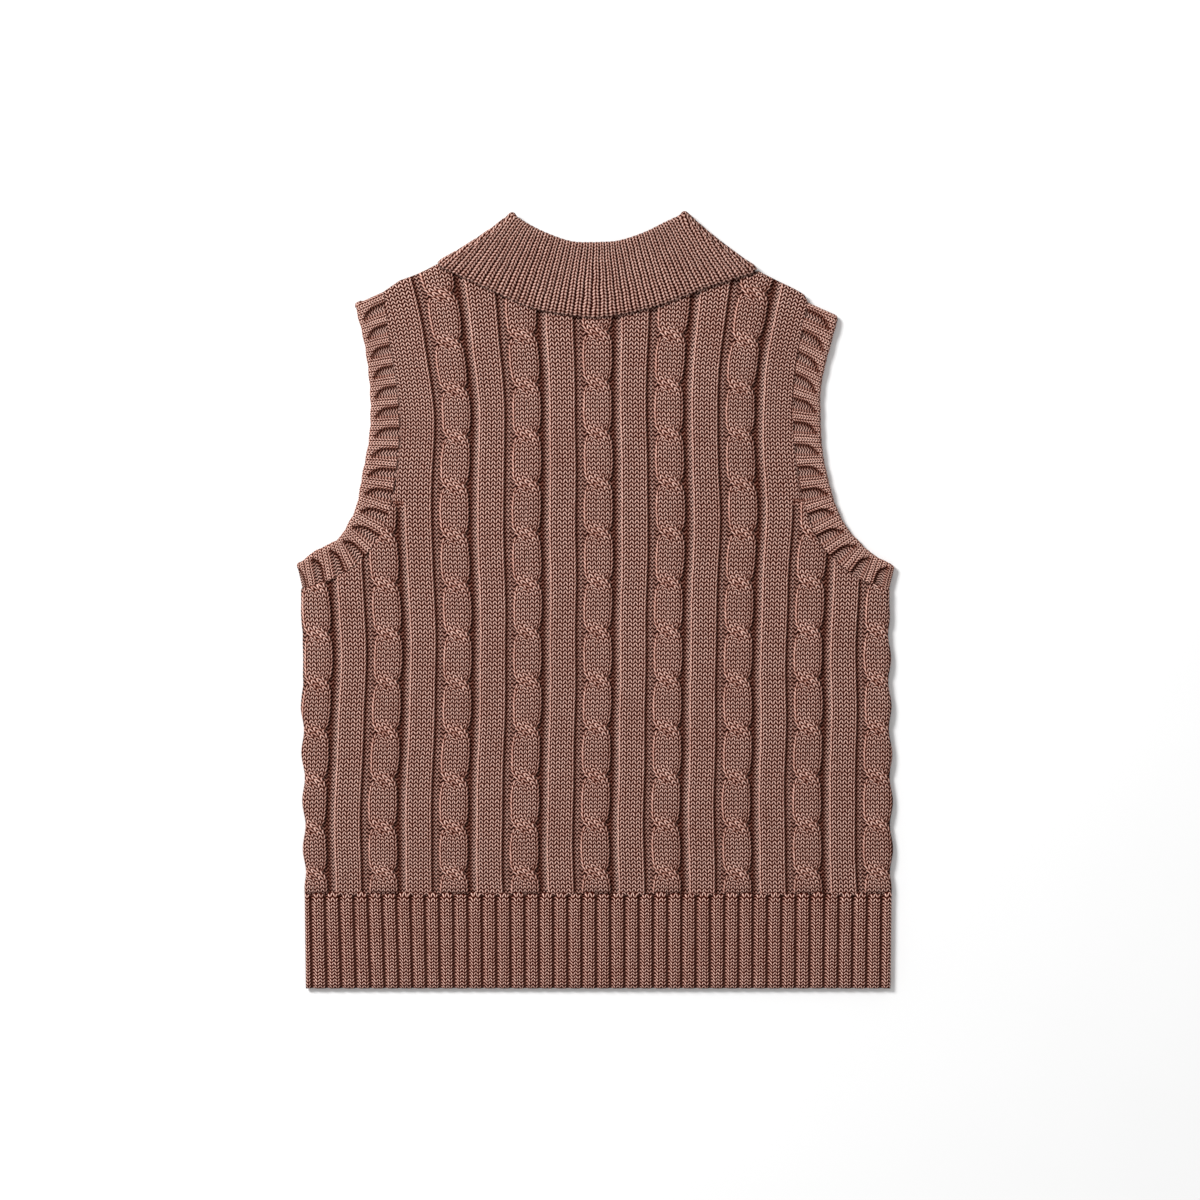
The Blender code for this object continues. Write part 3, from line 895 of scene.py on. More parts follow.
def rolled(height, depth, roll, foot):
    """A height that rolls down to a foot at the border, over the roll's radius."""
    reached = np.where(roll > 0, depth / np.maximum(roll, 0.01 * MM), 1)
    share = 1 - np.clip(reached, 0, 1)
    return foot + (height - foot) * np.sqrt(1 - share ** 2)


def face_down(plan, height):
    """Plan points at a height down from the middle plane, flat where the front rests."""
    level = middle_height(plan) - np.minimum(height, PANEL_OUTER)
    lift = ridge_height(plan, FRONT_RIDGES) * np.clip(height / PANEL_OUTER, 0, 1)
    return np.concatenate((plan, (level + lift)[..., np.newaxis]), axis=-1)


def placed(plan, height, face):
    """Plan points at a height out from the middle plane, on the back or on the front."""
    if face == "back":
        return raised(plan, height)
    return face_down(plan, height)


def body_weave(face, neck, relief):
    """The body's plain stripes and grooves, with flat beds under the cables."""
    across, wale, rise, purl, edge, cavity = body_columns()
    courses = np.arange(FIRST_COURSE, LAST_COURSE + 1)
    across, course = np.meshgrid(across, courses)
    along = course_y(course)
    plain = plain_beside_armhole(across, along)
    outer_wale = wale[np.newaxis] + plain * beyond_stripe(across, wale)
    rise = rise * (1 - plain) + plain
    unedged = plain_beside_armhole(across, along, OUTER_STRIPE - 1.5 * WALE)
    purl, cavity = purl * (1 - plain), cavity * (1 - plain)
    edge = edge * (1 - unedged)
    plan = spread_out(across, along)
    border, rolls = panel_border(neck)
    depth, nearest, roll = border_distance(plan.reshape(-1, 2), border, rolls)
    depth = depth.reshape(plan.shape[:2])
    roll = roll.reshape(depth.shape)
    plan = np.where((depth < 0)[..., np.newaxis], nearest.reshape(plan.shape), plan)
    top = relief.groove_floor + (relief.stripe_top - relief.groove_floor) * rise
    top = rolled(top, depth, roll, PANEL_INNER + EDGE_LIP)
    bed = np.full(top.shape, PANEL_INNER)
    stitch = np.stack((outer_wale, course.astype(float)), axis=-1)
    marks = {"purl": purl, "edge": edge, "cavity": cavity}
    return Weave(placed(plan, top, face), placed(plan, bed, face), stitch, marks, depth > 0)


def strand_courses():
    """Courses at which a strand has stations, close together at each crossing."""
    courses = []
    link = math.floor(FIRST_COURSE / COURSES_PER_CROSSING)
    while link * COURSES_PER_CROSSING < LAST_COURSE:
        courses += [link * COURSES_PER_CROSSING + step for step in STRAND_STEPS]
        link += 1
    return np.array([course for course in courses if FIRST_COURSE <= course <= LAST_COURSE])


def strand_marks(across_share, from_middle, from_crossing, front, outer_side):
    """A strand's marks: its outer edge, lit more on the cable's left as a painted highlight, its
    stretch at a crossing and its painted shade.
    """
    crossing = bell(from_crossing, CROSSING_REACH)
    near_edge = (across_share < -EDGE_START) & (outer_side < -OUTER_SWING)
    far_edge = (across_share > EDGE_START) & (outer_side > OUTER_SWING)
    outermost = near_edge + FAR_EDGE_SHARE * far_edge
    slit_across = bell(across_share - SLIT_SHARE, SLIT_WIDTH)
    slit_along = bell(from_crossing - SLIT_COURSE, SLIT_LENGTH)
    slit = np.where(front, slit_across * slit_along, 0)
    side_shade = np.clip(np.abs(from_middle) / SIDE_SHADE_REACH, 0, 1) ** 6 * SIDE_SHADE
    hidden = np.where(front, 0, bell(from_crossing, DIVE_REACH))
    return {
        "purl": DIVE_PURL * hidden * (from_crossing > DIVE_PURL_START),
        "edge": OUTER_EDGE * outermost * (1 - crossing),
        "stretch": np.where(front, crossing, crossing * BEHIND_STRETCH),
        "cavity": np.clip(side_shade + DIVE_SHADE * hidden + SLIT_SHADE * slit, 0, 1),
    }


def strand_weave(cable, first, face, border, rolls, relief):
    """One of a cable's two strands, weaving over and under the other.

    Where a strand crosses in front it comes up from the right and goes to the left.
    """
    course = strand_courses()
    link = np.round(course / COURSES_PER_CROSSING)
    from_crossing = course - link * COURSES_PER_CROSSING
    in_front = (link.astype(int) + first) % 2 == 0
    way = np.where(in_front, 1.0, -1.0)
    reach = np.where(in_front, FRONT_REACH, BACK_REACH)
    swing = 1 - 2 * smooth(from_crossing, -reach, reach)
    near_crossing = np.cos(math.pi * from_crossing / COURSES_PER_CROSSING) ** 2
    centre = STRAND_OFFSET * way * swing * (1 - LINK_NARROWING * near_crossing)
    along = course_y(course)
    crossing = bell(from_crossing, CROSSING_REACH)
    middle = CABLE_MIDDLE + cable * REPEAT
    tilt = CROSSING_TILT * np.arctan(np.gradient(centre, along))
    across_share = np.linspace(-1, 1, STRAND_COLUMNS)
    widening = np.where(in_front, FRONT_WIDENING, BACK_WIDENING)
    half = STRAND_HALF_WIDTH * (1 + widening * crossing - STRAND_NARROWING * near_crossing)
    sideways = half[:, np.newaxis] * across_share
    from_middle = centre[:, np.newaxis] + sideways * np.cos(tilt)[:, np.newaxis]
    along = along[:, np.newaxis] - sideways * np.sin(tilt)[:, np.newaxis]
    plan = spread_out(middle + from_middle, along)
    depth, nearest, roll = border_distance(plan.reshape(-1, 2), border, rolls)
    depth = depth.reshape(along.shape)
    roll = np.maximum(roll.reshape(along.shape), STRAND_ROLL)
    plan = np.where((depth < 0)[..., np.newaxis], nearest.reshape(plan.shape), plan)
    crown = np.clip(1 - (np.abs(from_middle) / CROWN_REACH) ** 3, 0, 1) ** 0.5
    height = relief.groove_floor + (relief.cable_top - relief.groove_floor) * crown
    cross = crossing[:, np.newaxis]
    front = in_front[:, np.newaxis]
    rounding = FRONT_ROUNDING * cross * np.abs(across_share) ** 3
    diving = bell(from_crossing, DIVE_REACH)[:, np.newaxis]
    height = height + np.where(front, relief.crossing_lift * cross - rounding, -DIVE * diving)
    height = np.maximum(height, STRAND_LIP)
    height = rolled(height, depth, roll, STRAND_LIP)
    bed = np.full(height.shape, STRAND_BED)
    first_wale = STRAND_WALES * (2 * first + cable * STRAND_MAP_STEP)
    wale = STRAND_WALES * (across_share + 1) / 2 + first_wale
    stitch = np.stack(np.broadcast_arrays(wale, course[:, np.newaxis]), axis=-1)
    marks = strand_marks(across_share, from_middle, from_crossing[:, np.newaxis], front,
                         (way * swing)[:, np.newaxis])
    keep = (depth > 0) & (plain_beside_armhole(middle + from_middle, along) < 0.5)
    return Weave(placed(plan, height, face), placed(plan, bed, face), stitch, marks, keep)


def cable_weaves(face, neck, relief):
    """Both strands of every cable on one panel."""
    border, rolls = panel_border(neck)
    return [strand_weave(cable, first, face, border, rolls, relief)
            for cable in CABLES for first in (0, 1)]


# --------------------------------------------------------------------------------------
# Ribs


def hem_columns():
    """Columns of the hem: across, wale, relief, purl, edge and painted shade, as arrays."""
    groove = HEM_GROOVE / HEM_PITCH / 2
    columns = []
    for rib in HEM_RIBS:
        for step, rise, shade in HEM_COLUMNS:
            in_groove = min(step, 1 - step) < groove
            knit = np.clip((step - groove) / (1 - 2 * groove), 0, 1)
            wale = 3 * rib + (0 if in_groove else 2 * knit)
            left_edge = HEM_LEFT_EDGE * (groove <= step < HEM_EDGE_REACH)
            right_edge = HEM_RIGHT_EDGE * (1 - HEM_EDGE_REACH < step <= 1 - groove)
            columns.append((HEM_FIRST_GROOVE + (rib + step) * HEM_PITCH, wale, rise,
                            float(in_groove), left_edge + right_edge, shade))
    return np.array(columns).T


def hem_weave(face, relief):
    """The deep hem: ribs of two knit wales with a purl wale between them."""
    across, wale, rise, purl, edge, cavity = hem_columns()
    corners = {side: mirrored(stations(SIDE_LINE[side][0:2], 1), side) for side in OUTWARD}
    share = np.linspace(0, 1, HEM_ROWS + 1)[:, np.newaxis]
    left = corners["left"][0] + (corners["left"][1] - corners["left"][0]) * share
    right = corners["right"][0] + (corners["right"][1] - corners["right"][0]) * share
    low_x, high_x = left[:, 0:1], right[:, 0:1]
    full_width = corners["right"][1][0] - corners["left"][1][0]
    widened = (across - corners["left"][1][0]) / full_width
    lean = pulled(across, HEM_LEAN) * (1 - share)
    x = low_x + (high_x - low_x) * widened + lean
    along = left[:, 1:2] + 0 * x
    inside = np.minimum(x - low_x, high_x - x)
    keep = inside > 0
    x = np.clip(x, low_x, high_x)
    from_bottom = along - left[0, 1]
    from_top = left[-1, 1] - along
    scallop = HEM_SCALLOP * (1 - rise) * (1 - smooth(from_bottom, 0, SCALLOP_REACH))
    uneven = 1 + TONGUE_UNEVENNESS * np.sin(TONGUE_TURN * np.floor(wale / 3))
    tongue = HEM_TONGUE * uneven * rise ** 2 * (1 - smooth(from_top, 0, TONGUE_REACH))
    along = along + scallop + tongue
    plan = np.stack((x, along), axis=-1)
    groove_share = smooth(from_top, HEM_GROOVE_TOP, HEM_GROOVE_RUN)
    height = relief.stripe_top - relief.hem_groove * (1 - rise) * groove_share
    height = height + HEM_SWELL * rise * (1 - smooth(from_top, 0, HEM_SWELL_REACH))
    foot = PANEL_INNER + EDGE_LIP
    height = rolled(height, np.clip(inside, 0, None), SIDE_ROLL, foot)
    height = rolled(height, from_bottom, HEM_FOOT_ROLL, foot)
    bed = np.full(height.shape, PANEL_INNER)
    course = from_bottom / HEM_COURSE
    stitch = np.stack(np.broadcast_arrays(wale, course), axis=-1)
    top_shade = HEM_TOP_SHADE * (1 - rise) * bell(from_top, HEM_TOP_REACH)
    marks = {"purl": purl, "edge": edge, "cavity": cavity * groove_share + top_shade}
    return Weave(placed(plan, height, face), placed(plan, bed, face), stitch, marks, keep)


def band_course(side):
    """A band's stations round the armhole: each one's row, and its fold's way and angle."""
    half = stations(BAND[side], BAND_STATIONS)
    underarm = band_fold(half[0])
    shoulder = -band_fold(half[-1])
    fold_angles = np.linspace(0, math.pi, BAND_FOLD_STEPS)
    course = [(row, shoulder, 0.0) for row in half[:-1]]
    course += [(half[-1], shoulder, angle) for angle in fold_angles]
    course += [(row, underarm, math.pi) for row in half[-2:0:-1]]
    course += [(half[0], underarm, angle) for angle in fold_angles[::-1]]
    return course


def band_ribs(course, side):
    """Count of ribs at each station, with a whole number of them round the band.

    They keep their pitch on the back, and are spaced out evenly past the shoulder fold.
    """
    middle = np.array([(row[0:2] + row[2:4]) / 2 for row, _, _ in course])
    turning = np.array([angle for _, _, angle in course])
    walked = np.linalg.norm(np.diff(middle, axis=0), axis=1)
    walked += np.abs(np.diff(turning)) * PANEL_OUTER
    arc = np.concatenate(((0.0,), np.cumsum(walked)))
    first_recess, pitch = BAND_RIBS[side]
    ribs_round = round(arc[-1] / pitch)
    rib = (arc - first_recess) / pitch
    back_end = rib[BAND_STATIONS + BAND_FOLD_STEPS // 2]
    closing = np.where(rib > back_end, (rib - back_end) / (rib[-1] - back_end), 0)
    return rib + closing * (ribs_round - arc[-1] / pitch)


def band_recesses(phase, share):
    """How deep a band's recesses are, from 0 to 1, and how much painted shade they get."""
    drop = np.clip(share / POCKET_REACH, 0, 1) ** CAP_CURVE
    cap = POCKET_CAP - (POCKET_CAP - POCKET_FOOT) * drop
    below_cap = 1 - smooth(phase, cap + CAP_START, cap + CAP_END)
    recess = below_cap * smooth(phase, POCKET_FOOT, POCKET_FOOT + FOOT_SLOPE)
    in_pocket = share < POCKET_REACH
    cap_shade = bell(phase - cap + SHADE_INSET, CAP_SHADE_WIDTH) * in_pocket
    from_foot = phase - POCKET_FOOT - SHADE_INSET
    end_shade = recess * smooth(share, END_SHADE_START, END_SHADE_END)
    end_shade = end_shade + bell(from_foot, FOOT_SHADE_WIDTH) * in_pocket
    shade = CAP_SHADE * cap_shade + END_SHADE * end_shade + RECESS_SHADE * recess
    return recess, np.clip(shade, 0, 1)


def band_weave(side, relief):
    """A flattened ring of ribs round one armhole, folded at the underarm and shoulder."""
    course = band_course(side)
    rib = band_ribs(course, side)
    phase = ((rib + 0.5) % 1 - 0.5)[:, np.newaxis]
    share = np.linspace(0, 1, BAND_ROWS)
    recess, shade = band_recesses(phase, share)
    ridge_lines = RIDGE_LINES * np.cos(phase * 2 * math.pi * BAND_WALES)
    height = relief.stripe_top - relief.band_recess * recess + ridge_lines * (1 - recess)
    edge_depth = (1 - share) * BAND_EDGE_DEPTH
    height = rolled(height, edge_depth, BAND_EDGE_ROLL, PANEL_INNER + EDGE_LIP)
    scallop = BAND_SCALLOP * np.cos(2 * math.pi * phase[:, 0])
    faces = []
    for level in (np.full(height.shape, PANEL_INNER), height):
        points = []
        for index, (row, outward, angle) in enumerate(course):
            seam, free = row[0:2], row[2:4] + unit(row[2:4] - row[0:2]) * scallop[index]
            plan = seam + (free - seam) * share[:, np.newaxis]
            points.append(band_points(plan, level[index], outward, angle))
        faces.append(mirrored_ring(np.array(points), side))
    under, over = faces
    wale = (rib * BAND_WALES - 1)[:, np.newaxis]
    stitch = np.stack(np.broadcast_arrays(wale, share * BAND_WIDTH / BAND_COURSE), axis=-1)
    marks = {
        "purl": smooth(recess, RECESS_PURL_START, RECESS_PURL_END),
        "edge": RIB_EDGE * (1 - recess),
        "cavity": shade,
    }
    return Weave(over, under, stitch, marks, ring=True)


def band_points(plan, height, outward, angle):
    """Points of a band, up on the back, round its folds and flat on the front."""
    if angle == math.pi:
        return face_down(plan, height)
    return turned(plan, height, outward, angle)


def mirrored_ring(points, side):
    """A ring's points on one side of the garment, its last station on its first."""
    placed_points = mirrored(points, side)
    placed_points[-1] = placed_points[0]
    return placed_points


def collar_ribs(side, to_crease, share):
    """Count of ribs from the middle of the back, at a share from fold to edge.

    Towards the side crease the ribs fan out, and some end on the crease.
    """
    first, even, crowded = FOLD_RIBS[side]
    fold = first + even * to_crease + crowded * to_crease ** FOLD_CROWDING
    first, even, crowded = EDGE_RIBS[side]
    edge = first + even * to_crease + crowded * to_crease ** EDGE_CROWDING
    fan = share * (FAN - FAN_EASING * share)
    return fold * (1 - fan) + edge * fan


def collar_section(row, offset, angle, lift, steps):
    """Points across the collar at one station: up the stand, over the fold, down the fall.

    The offset moves them out from the middle of the cloth, away from the fold's axis.
    """
    stand, turn, fall = steps
    seam, fold, edge = row[0:2], row[2:4], row[4:6]
    turning = 0 < angle < math.pi
    crease = unit(fold - edge)
    plan = []
    height = []
    outward = iter(offset)
    for share in stand:
        plan.append(seam + (fold - seam) * share)
        height.append(STAND_MIDDLE - next(outward))
    for step in turn:
        radius = FOLD_RADIUS + next(outward)
        plan.append(fold + crease * radius * math.sin(step))
        height.append(FOLD_HEIGHT - radius * math.cos(step))
    for share in fall:
        straight = fold + (edge - fold) * share
        plan.append(side_crease(row, share) if turning else straight)
        height.append(FALL_MIDDLE + lift * smooth(share, 0, LIFT_REACH) + next(outward))
    plan, height = np.array(plan), np.array(height)
    if angle == math.pi:
        level = np.maximum(middle_height(plan) - height, 0)
        return np.concatenate((plan, level[:, np.newaxis]), axis=-1)
    return turned(plan, height, crease_normal(row), angle)


def collar_course(side):
    """Half the collar's stations, from the back's middle round the crease to its end.

    Each has its row and its angle. Their shares of the way to the crease and their counts
    of ribs past it are given beside them.
    """
    back = stations(COLLAR_BACK[side], BACK_STATIONS)
    front = stations(COLLAR_FRONT[side], FRONT_STATIONS)
    angles = np.linspace(0, math.pi, CREASE_STEPS)
    course = [(row, 0.0) for row in back[:-1]]
    course += [(back[-1], angle) for angle in angles]
    course += [(row, math.pi) for row in front[1:]]
    to_crease = np.linspace(0, 1, len(back))[:-1]
    round_crease = np.linspace(0, TURN_RIBS, len(angles))
    past_crease = TURN_RIBS + np.linspace(0, FRONT_RIBS, len(front))[1:]
    back_share = np.concatenate((to_crease, np.ones(len(course) - len(to_crease))))
    beyond = np.concatenate((np.zeros(len(to_crease)), round_crease, past_crease))
    return course, back_share, beyond


def collar_half(side, relief):
    """Over and under points, stitches and marks of half the collar, from the back's middle."""
    course, to_crease, beyond = collar_course(side)
    stand = np.linspace(0, 1, STAND_STEPS)
    turn = np.linspace(0, math.pi, FOLD_STEPS)[1:-1]
    fall = np.linspace(0, 1, FALL_STEPS)
    steps = (stand, turn, fall)
    before_fall = np.zeros(len(stand) + len(turn))
    share = np.concatenate((before_fall, fall))
    rib = collar_ribs(side, to_crease[:, np.newaxis], share) + beyond[:, np.newaxis]
    if side == "left":
        rib = -1 - rib
    phase = np.abs((rib + 0.5) % 1 - 0.5)
    groove = 1 - smooth(phase, COLLAR_GROOVE_START, COLLAR_GROOVE_END)
    near_edge = np.concatenate((before_fall, smooth(fall, COLLAR_EDGE_START, 1.0)))
    round_fold = np.concatenate((np.zeros(len(stand)), np.sin(turn) ** 0.5,
                                 1 - smooth(fall, 0, COLLAR_FOLD_END)))
    evened = COLLAR_EVENING * near_edge + COLLAR_EVENING * round_fold
    groove_depth = relief.collar_groove * groove * (1 - evened)
    rounding = near_edge ** 2 * COLLAR_EDGE_ROLL
    outer = COLLAR_THICKNESS / 2 - groove_depth - rounding
    inner = np.full(outer.shape, -COLLAR_THICKNESS / 2)
    bead = COLLAR_BEAD * (0.5 - groove)
    sheets = []
    for offset in (inner, outer):
        points = []
        for index, (row, angle) in enumerate(course):
            beaded = row.copy()
            beaded[4:6] += unit(row[4:6] - row[2:4]) * bead[index, -1]
            lift = relief.collar_lift * (1 + math.cos(angle)) / 2
            points.append(collar_section(beaded, offset[index], angle, lift, steps))
        sheets.append(mirrored(np.array(points), side))
    under, over = sheets
    walked = np.linalg.norm(np.diff(over[0], axis=0), axis=1)
    course_count = np.concatenate(((0.0,), np.cumsum(walked))) / COLLAR_COURSE
    stitch = np.stack(np.broadcast_arrays(rib, course_count), axis=-1)
    # The rib mark sets how much painted shade falls between the ribs, half as much at the edge
    marks = {
        "edge": np.full(rib.shape, RIB_EDGE),
        "rib": np.broadcast_to(1 - 0.5 * near_edge, rib.shape),
    }
    return over, under, stitch, marks


def collar_weave(relief):
    """The folded collar, one strip of narrow ribs from end to end round the neck."""
    left = collar_half("left", relief)
    right = collar_half("right", relief)
    over, under, stitch = (np.concatenate((left[part][::-1], right[part][1:])) for part in range(3))
    marks = {name: np.concatenate((left[3][name][::-1], right[3][name][1:])) for name in left[3]}
    return Weave(over, under, stitch, marks)


# --------------------------------------------------------------------------------------
# Finishes


class Finish:
    """A new material's nodes, with one way to add a node."""

    def __init__(self, name):
        self.material = bpy.data.materials.new(name)
        self.material.use_nodes = True
        self.tree = self.material.node_tree
        self.shader = self.tree.nodes["Principled BSDF"]

    def node(self, kind, settings=None, inputs=None):
        """Add a node: its settings first, then the values or links of its sockets."""
        added = self.tree.nodes.new(kind)
        for name, value in (settings or {}).items():
            setattr(added, name, value)
        for name, value in (inputs or {}).items():
            self.feed(added.inputs[name], value)
        return added

    def feed(self, socket, value):
        """Link a wire to a socket, or set the socket's own value."""
        if isinstance(value, Wire):
            self.tree.links.new(value.socket, socket)
        else:
            socket.default_value = value

    def wire(self, node, output=0):
        """A node's output as a wire."""
        return Wire(self, node.outputs[output])

    def math(self, operation, *terms):
        """A Math node on wires and numbers."""
        inputs = dict(enumerate(terms))
        return self.wire(self.node("ShaderNodeMath", {"operation": operation}, inputs))

    def mark(self, name):
        """One of the mesh's marks."""
        settings = {"attribute_type": "GEOMETRY", "attribute_name": name}
        return self.wire(self.node("ShaderNodeAttribute", settings), "Fac")

    def noise(self, vector, scale, detail=2.0):
        """Smooth noise from 0 to 1 with a number of features to the metre."""
        inputs = {"Vector": vector, "Scale": scale, "Detail": detail}
        return self.wire(self.node("ShaderNodeTexNoise", None, inputs), "Fac")

    def eased(self, value, start, end):
        """Share of the way from start to end, eased at both."""
        inputs = {"Value": value, "From Min": start, "From Max": end}
        settings = {"interpolation_type": "SMOOTHSTEP"}
        return self.wire(self.node("ShaderNodeMapRange", settings, inputs), "Result")

    def blend(self, factor, first, second, how="MIX"):
        """Two colours mixed."""
        settings = {"data_type": "RGBA", "blend_type": how}
        mix = self.node("ShaderNodeMix", settings)
        self.feed(mix.inputs["Factor"], factor)
        self.feed(mix.inputs[6], first)
        self.feed(mix.inputs[7], second)
        return self.wire(mix, 2)


class Wire:
    """A node's output, on which arithmetic adds Math nodes."""

    def __init__(self, finish, socket):
        self.finish = finish
        self.socket = socket

    def __add__(self, other):
        return self.finish.math("ADD", self, other)

    __radd__ = __add__

    def __sub__(self, other):
        return self.finish.math("SUBTRACT", self, other)

    def __rsub__(self, other):
        return self.finish.math("SUBTRACT", other, self)

    def __mul__(self, other):
        return self.finish.math("MULTIPLY", self, other)

    __rmul__ = __mul__

    def __pow__(self, other):
        return self.finish.math("POWER", self, other)

    def __abs__(self):
        return self.finish.math("ABSOLUTE", self)

    def fraction(self):
        """What is left above the whole number below."""
        return self.finish.math("FRACT", self)

    def floor(self):
        """The whole number below."""
        return self.finish.math("FLOOR", self)


def stitch_heights(finish, wale, course, marks, gap_depth):
    """Height from 0 to 1 of the yarn over a piece's stitches, the painted shade between the
    collar's ribs, and each leg's own chance.
    """
    purl, edge, stretch, rib = marks
    fold = abs(2 * wale.fraction() - 1)
    leg_course = course + LEG_RISE * (1 - fold)
    swing = abs(2 * ((leg_course + 0.5).fraction() - 0.5))
    foot = (1 - fold) ** 3
    apex = fold ** 3
    gap = gap_depth * (GAP + APEX_GAP * apex)
    gap = gap * (1 - EDGE_CLOSING * edge) * (1 - STRETCH_CLOSING * stretch)
    crest = CREST - FOOT_LOSS * foot - APEX_LOSS * apex * (1 - edge)
    crest = crest - EDGE_LOSS * edge - STRETCH_LOSS * stretch
    knit = crest - gap * swing ** GAP_CURVE
    wave = finish.math("COSINE", 2 * math.pi * wale)
    loop = abs(2 * ((course - PURL_WAVE * wave + 0.5).fraction() - 0.5))
    bump = PURL_CREST - PURL_GAP * loop
    height = knit * (1 - purl) + bump * purl
    key = finish.node("ShaderNodeCombineXYZ", None,
                      {"X": (2 * wale).floor(), "Y": (leg_course + 0.5).floor(), "Z": 0.5})
    chance = finish.node("ShaderNodeTexWhiteNoise", {"noise_dimensions": "3D"},
                         {"Vector": finish.wire(key)})
    # Where the painted shade between the collar's ribs falls
    rib_gap = finish.eased(fold + RIB_GAP_SWING * (swing - 0.5), RIB_GAP_START, RIB_GAP_END)
    return height, rib * rib_gap, finish.wire(chance, "Value")


def yarn_finish(name, yarn, gap_depth=1.0, shade=1.0):
    """Matt cotton yarn, drawn stitch by stitch over a piece's own stitch map, with painted light
    and shade.

    A greater gap depth draws deeper gaps between stitches, and a greater shade lighter yarn.
    """
    finish = Finish(name)
    place = finish.wire(finish.node("ShaderNodeTexCoord"), "Object")
    stitch = finish.node("ShaderNodeUVMap", {"uv_map": "stitch"})
    split = finish.node("ShaderNodeSeparateXYZ", None, {"Vector": finish.wire(stitch)})
    drift = finish.noise(place, DRIFT_SCALE)
    wobble = finish.noise(place, WOBBLE_SCALE)
    wale = finish.wire(split, "X") + DRIFT * (drift - 0.5)
    course = finish.wire(split, "Y") + WOBBLE * (wobble - 0.5)
    purl, edge, stretch, cavity, rib = (finish.mark(mark) for mark in MARKS)
    height, rib_gap_shade, chance = stitch_heights(finish, wale, course,
                                                  (purl, edge, stretch, rib), gap_depth)
    mottle = finish.noise(place, MOTTLE_SCALE, MOTTLE_DETAIL)
    fuzz = finish.noise(place, FUZZ_SCALE)
    # Painted light and shade: the yarn is lighter where it stands high and darker where it sinks,
    # and darker still in painted shade and between the collar's ribs; chance and mottle vary it at
    # random
    level = height + FUZZ * (fuzz - 0.5) - PAINTED_SHADE_SINKING * cavity
    light_and_tone = finish.eased(level, DARK_LEVEL, LIT_LEVEL) * (LEAST_TONE + TONE_CHANCE * chance)
    light_and_tone = light_and_tone * (1 + yarn.mottle * (2 * mottle - 1))
    light_and_tone = light_and_tone * (1 - PAINTED_SHADE_DARKENING * cavity) * (1 - RIB_GAP_PAINTED_SHADE * rib_gap_shade)
    # Painted light and shade: from the shaded colour, through half shade, to the lit one
    shaded, middle, lit = ((*tint, 1.0) for tint in (yarn.shaded, yarn.middle, yarn.lit))
    colour = finish.blend(light_and_tone, shaded, finish.blend(light_and_tone, middle, lit))
    colour = finish.blend(1.0, colour, (shade, shade, shade, 1.0), "MULTIPLY")
    ruddy = finish.noise(place, RUDDY_SCALE)
    colour = finish.blend(RUDDY * ruddy, colour, RUDDY_COLOUR, "OVERLAY")
    bump = finish.node("ShaderNodeBump", None,
                       {"Strength": BUMP_STRENGTH, "Distance": yarn.loop_height,
                        "Height": height + FUZZ * fuzz})
    finish.feed(finish.shader.inputs["Base Color"], colour)
    finish.feed(finish.shader.inputs["Roughness"], ROUGHEST - CROWN_SMOOTHNESS * height)
    finish.feed(finish.shader.inputs["Normal"], finish.wire(bump))
    finish.feed(finish.shader.inputs["Specular IOR Level"], YARN_SPECULAR)
    return finish.material


def floor_finish():
    """Pale, very slightly uneven studio paper."""
    finish = Finish("studio_paper")
    place = finish.wire(finish.node("ShaderNodeTexCoord"), "Object")
    grain = finish.noise(place, PAPER_GRAIN_SCALE, PAPER_GRAIN_DETAIL)
    colour = finish.blend(grain, PAPER_PALE, PAPER_SHADED)
    finish.feed(finish.shader.inputs["Base Color"], colour)
    finish.feed(finish.shader.inputs["Roughness"], PAPER_ROUGHNESS)
    finish.feed(finish.shader.inputs["Specular IOR Level"], PAPER_SPECULAR)
    return finish.material


# --------------------------------------------------------------------------------------
# Operators


class KNIT_OT_body(bpy.types.Operator):
    """Knit the back and the front of the body, with their cables"""

    bl_idname = "knit.body"
    bl_label = "Knit the body"

    def execute(self, context):
        relief = context.scene.knit_relief
        yarn = context.scene.knit_yarn
        for face, neck in (("front", COLLAR_FRONT), ("back", COLLAR_BACK)):
            panel = cloth(f"{face}_body", [body_weave(face, neck, relief)],
                          yarn_finish(f"{face}_plain_yarn", yarn))
            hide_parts(f"{face}_panel")
            cables = cloth(f"{face}_cables", cable_weaves(face, neck, relief),
                           yarn_finish(f"{face}_cable_yarn", yarn))
            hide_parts(f"{face}_panel")
        return {"FINISHED"}


class KNIT_OT_hem(bpy.types.Operator):
    """Knit the ribbed hems of the back and the front"""

    bl_idname = "knit.hem"
    bl_label = "Knit the hems"

    def execute(self, context):
        relief = context.scene.knit_relief
        yarn = context.scene.knit_yarn
        for face in ("front", "back"):
            hem = cloth(f"{face}_hem", [hem_weave(face, relief)],
                        yarn_finish(f"{face}_hem_yarn", yarn, gap_depth=1.25, shade=1.32))
            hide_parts(f"{face}_hem_rib")
        return {"FINISHED"}


class KNIT_OT_bands(bpy.types.Operator):
    """Knit the ribbed bands round both armholes"""

    bl_idname = "knit.bands"
    bl_label = "Knit the armhole bands"

    def execute(self, context):
        relief = context.scene.knit_relief
        yarn = context.scene.knit_yarn
        for side in OUTWARD:
            band = cloth(f"{side}_band", [band_weave(side, relief)],
                         yarn_finish(f"{side}_band_yarn", yarn, shade=1.06))
            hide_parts(f"armhole_band_{side}")
        return {"FINISHED"}


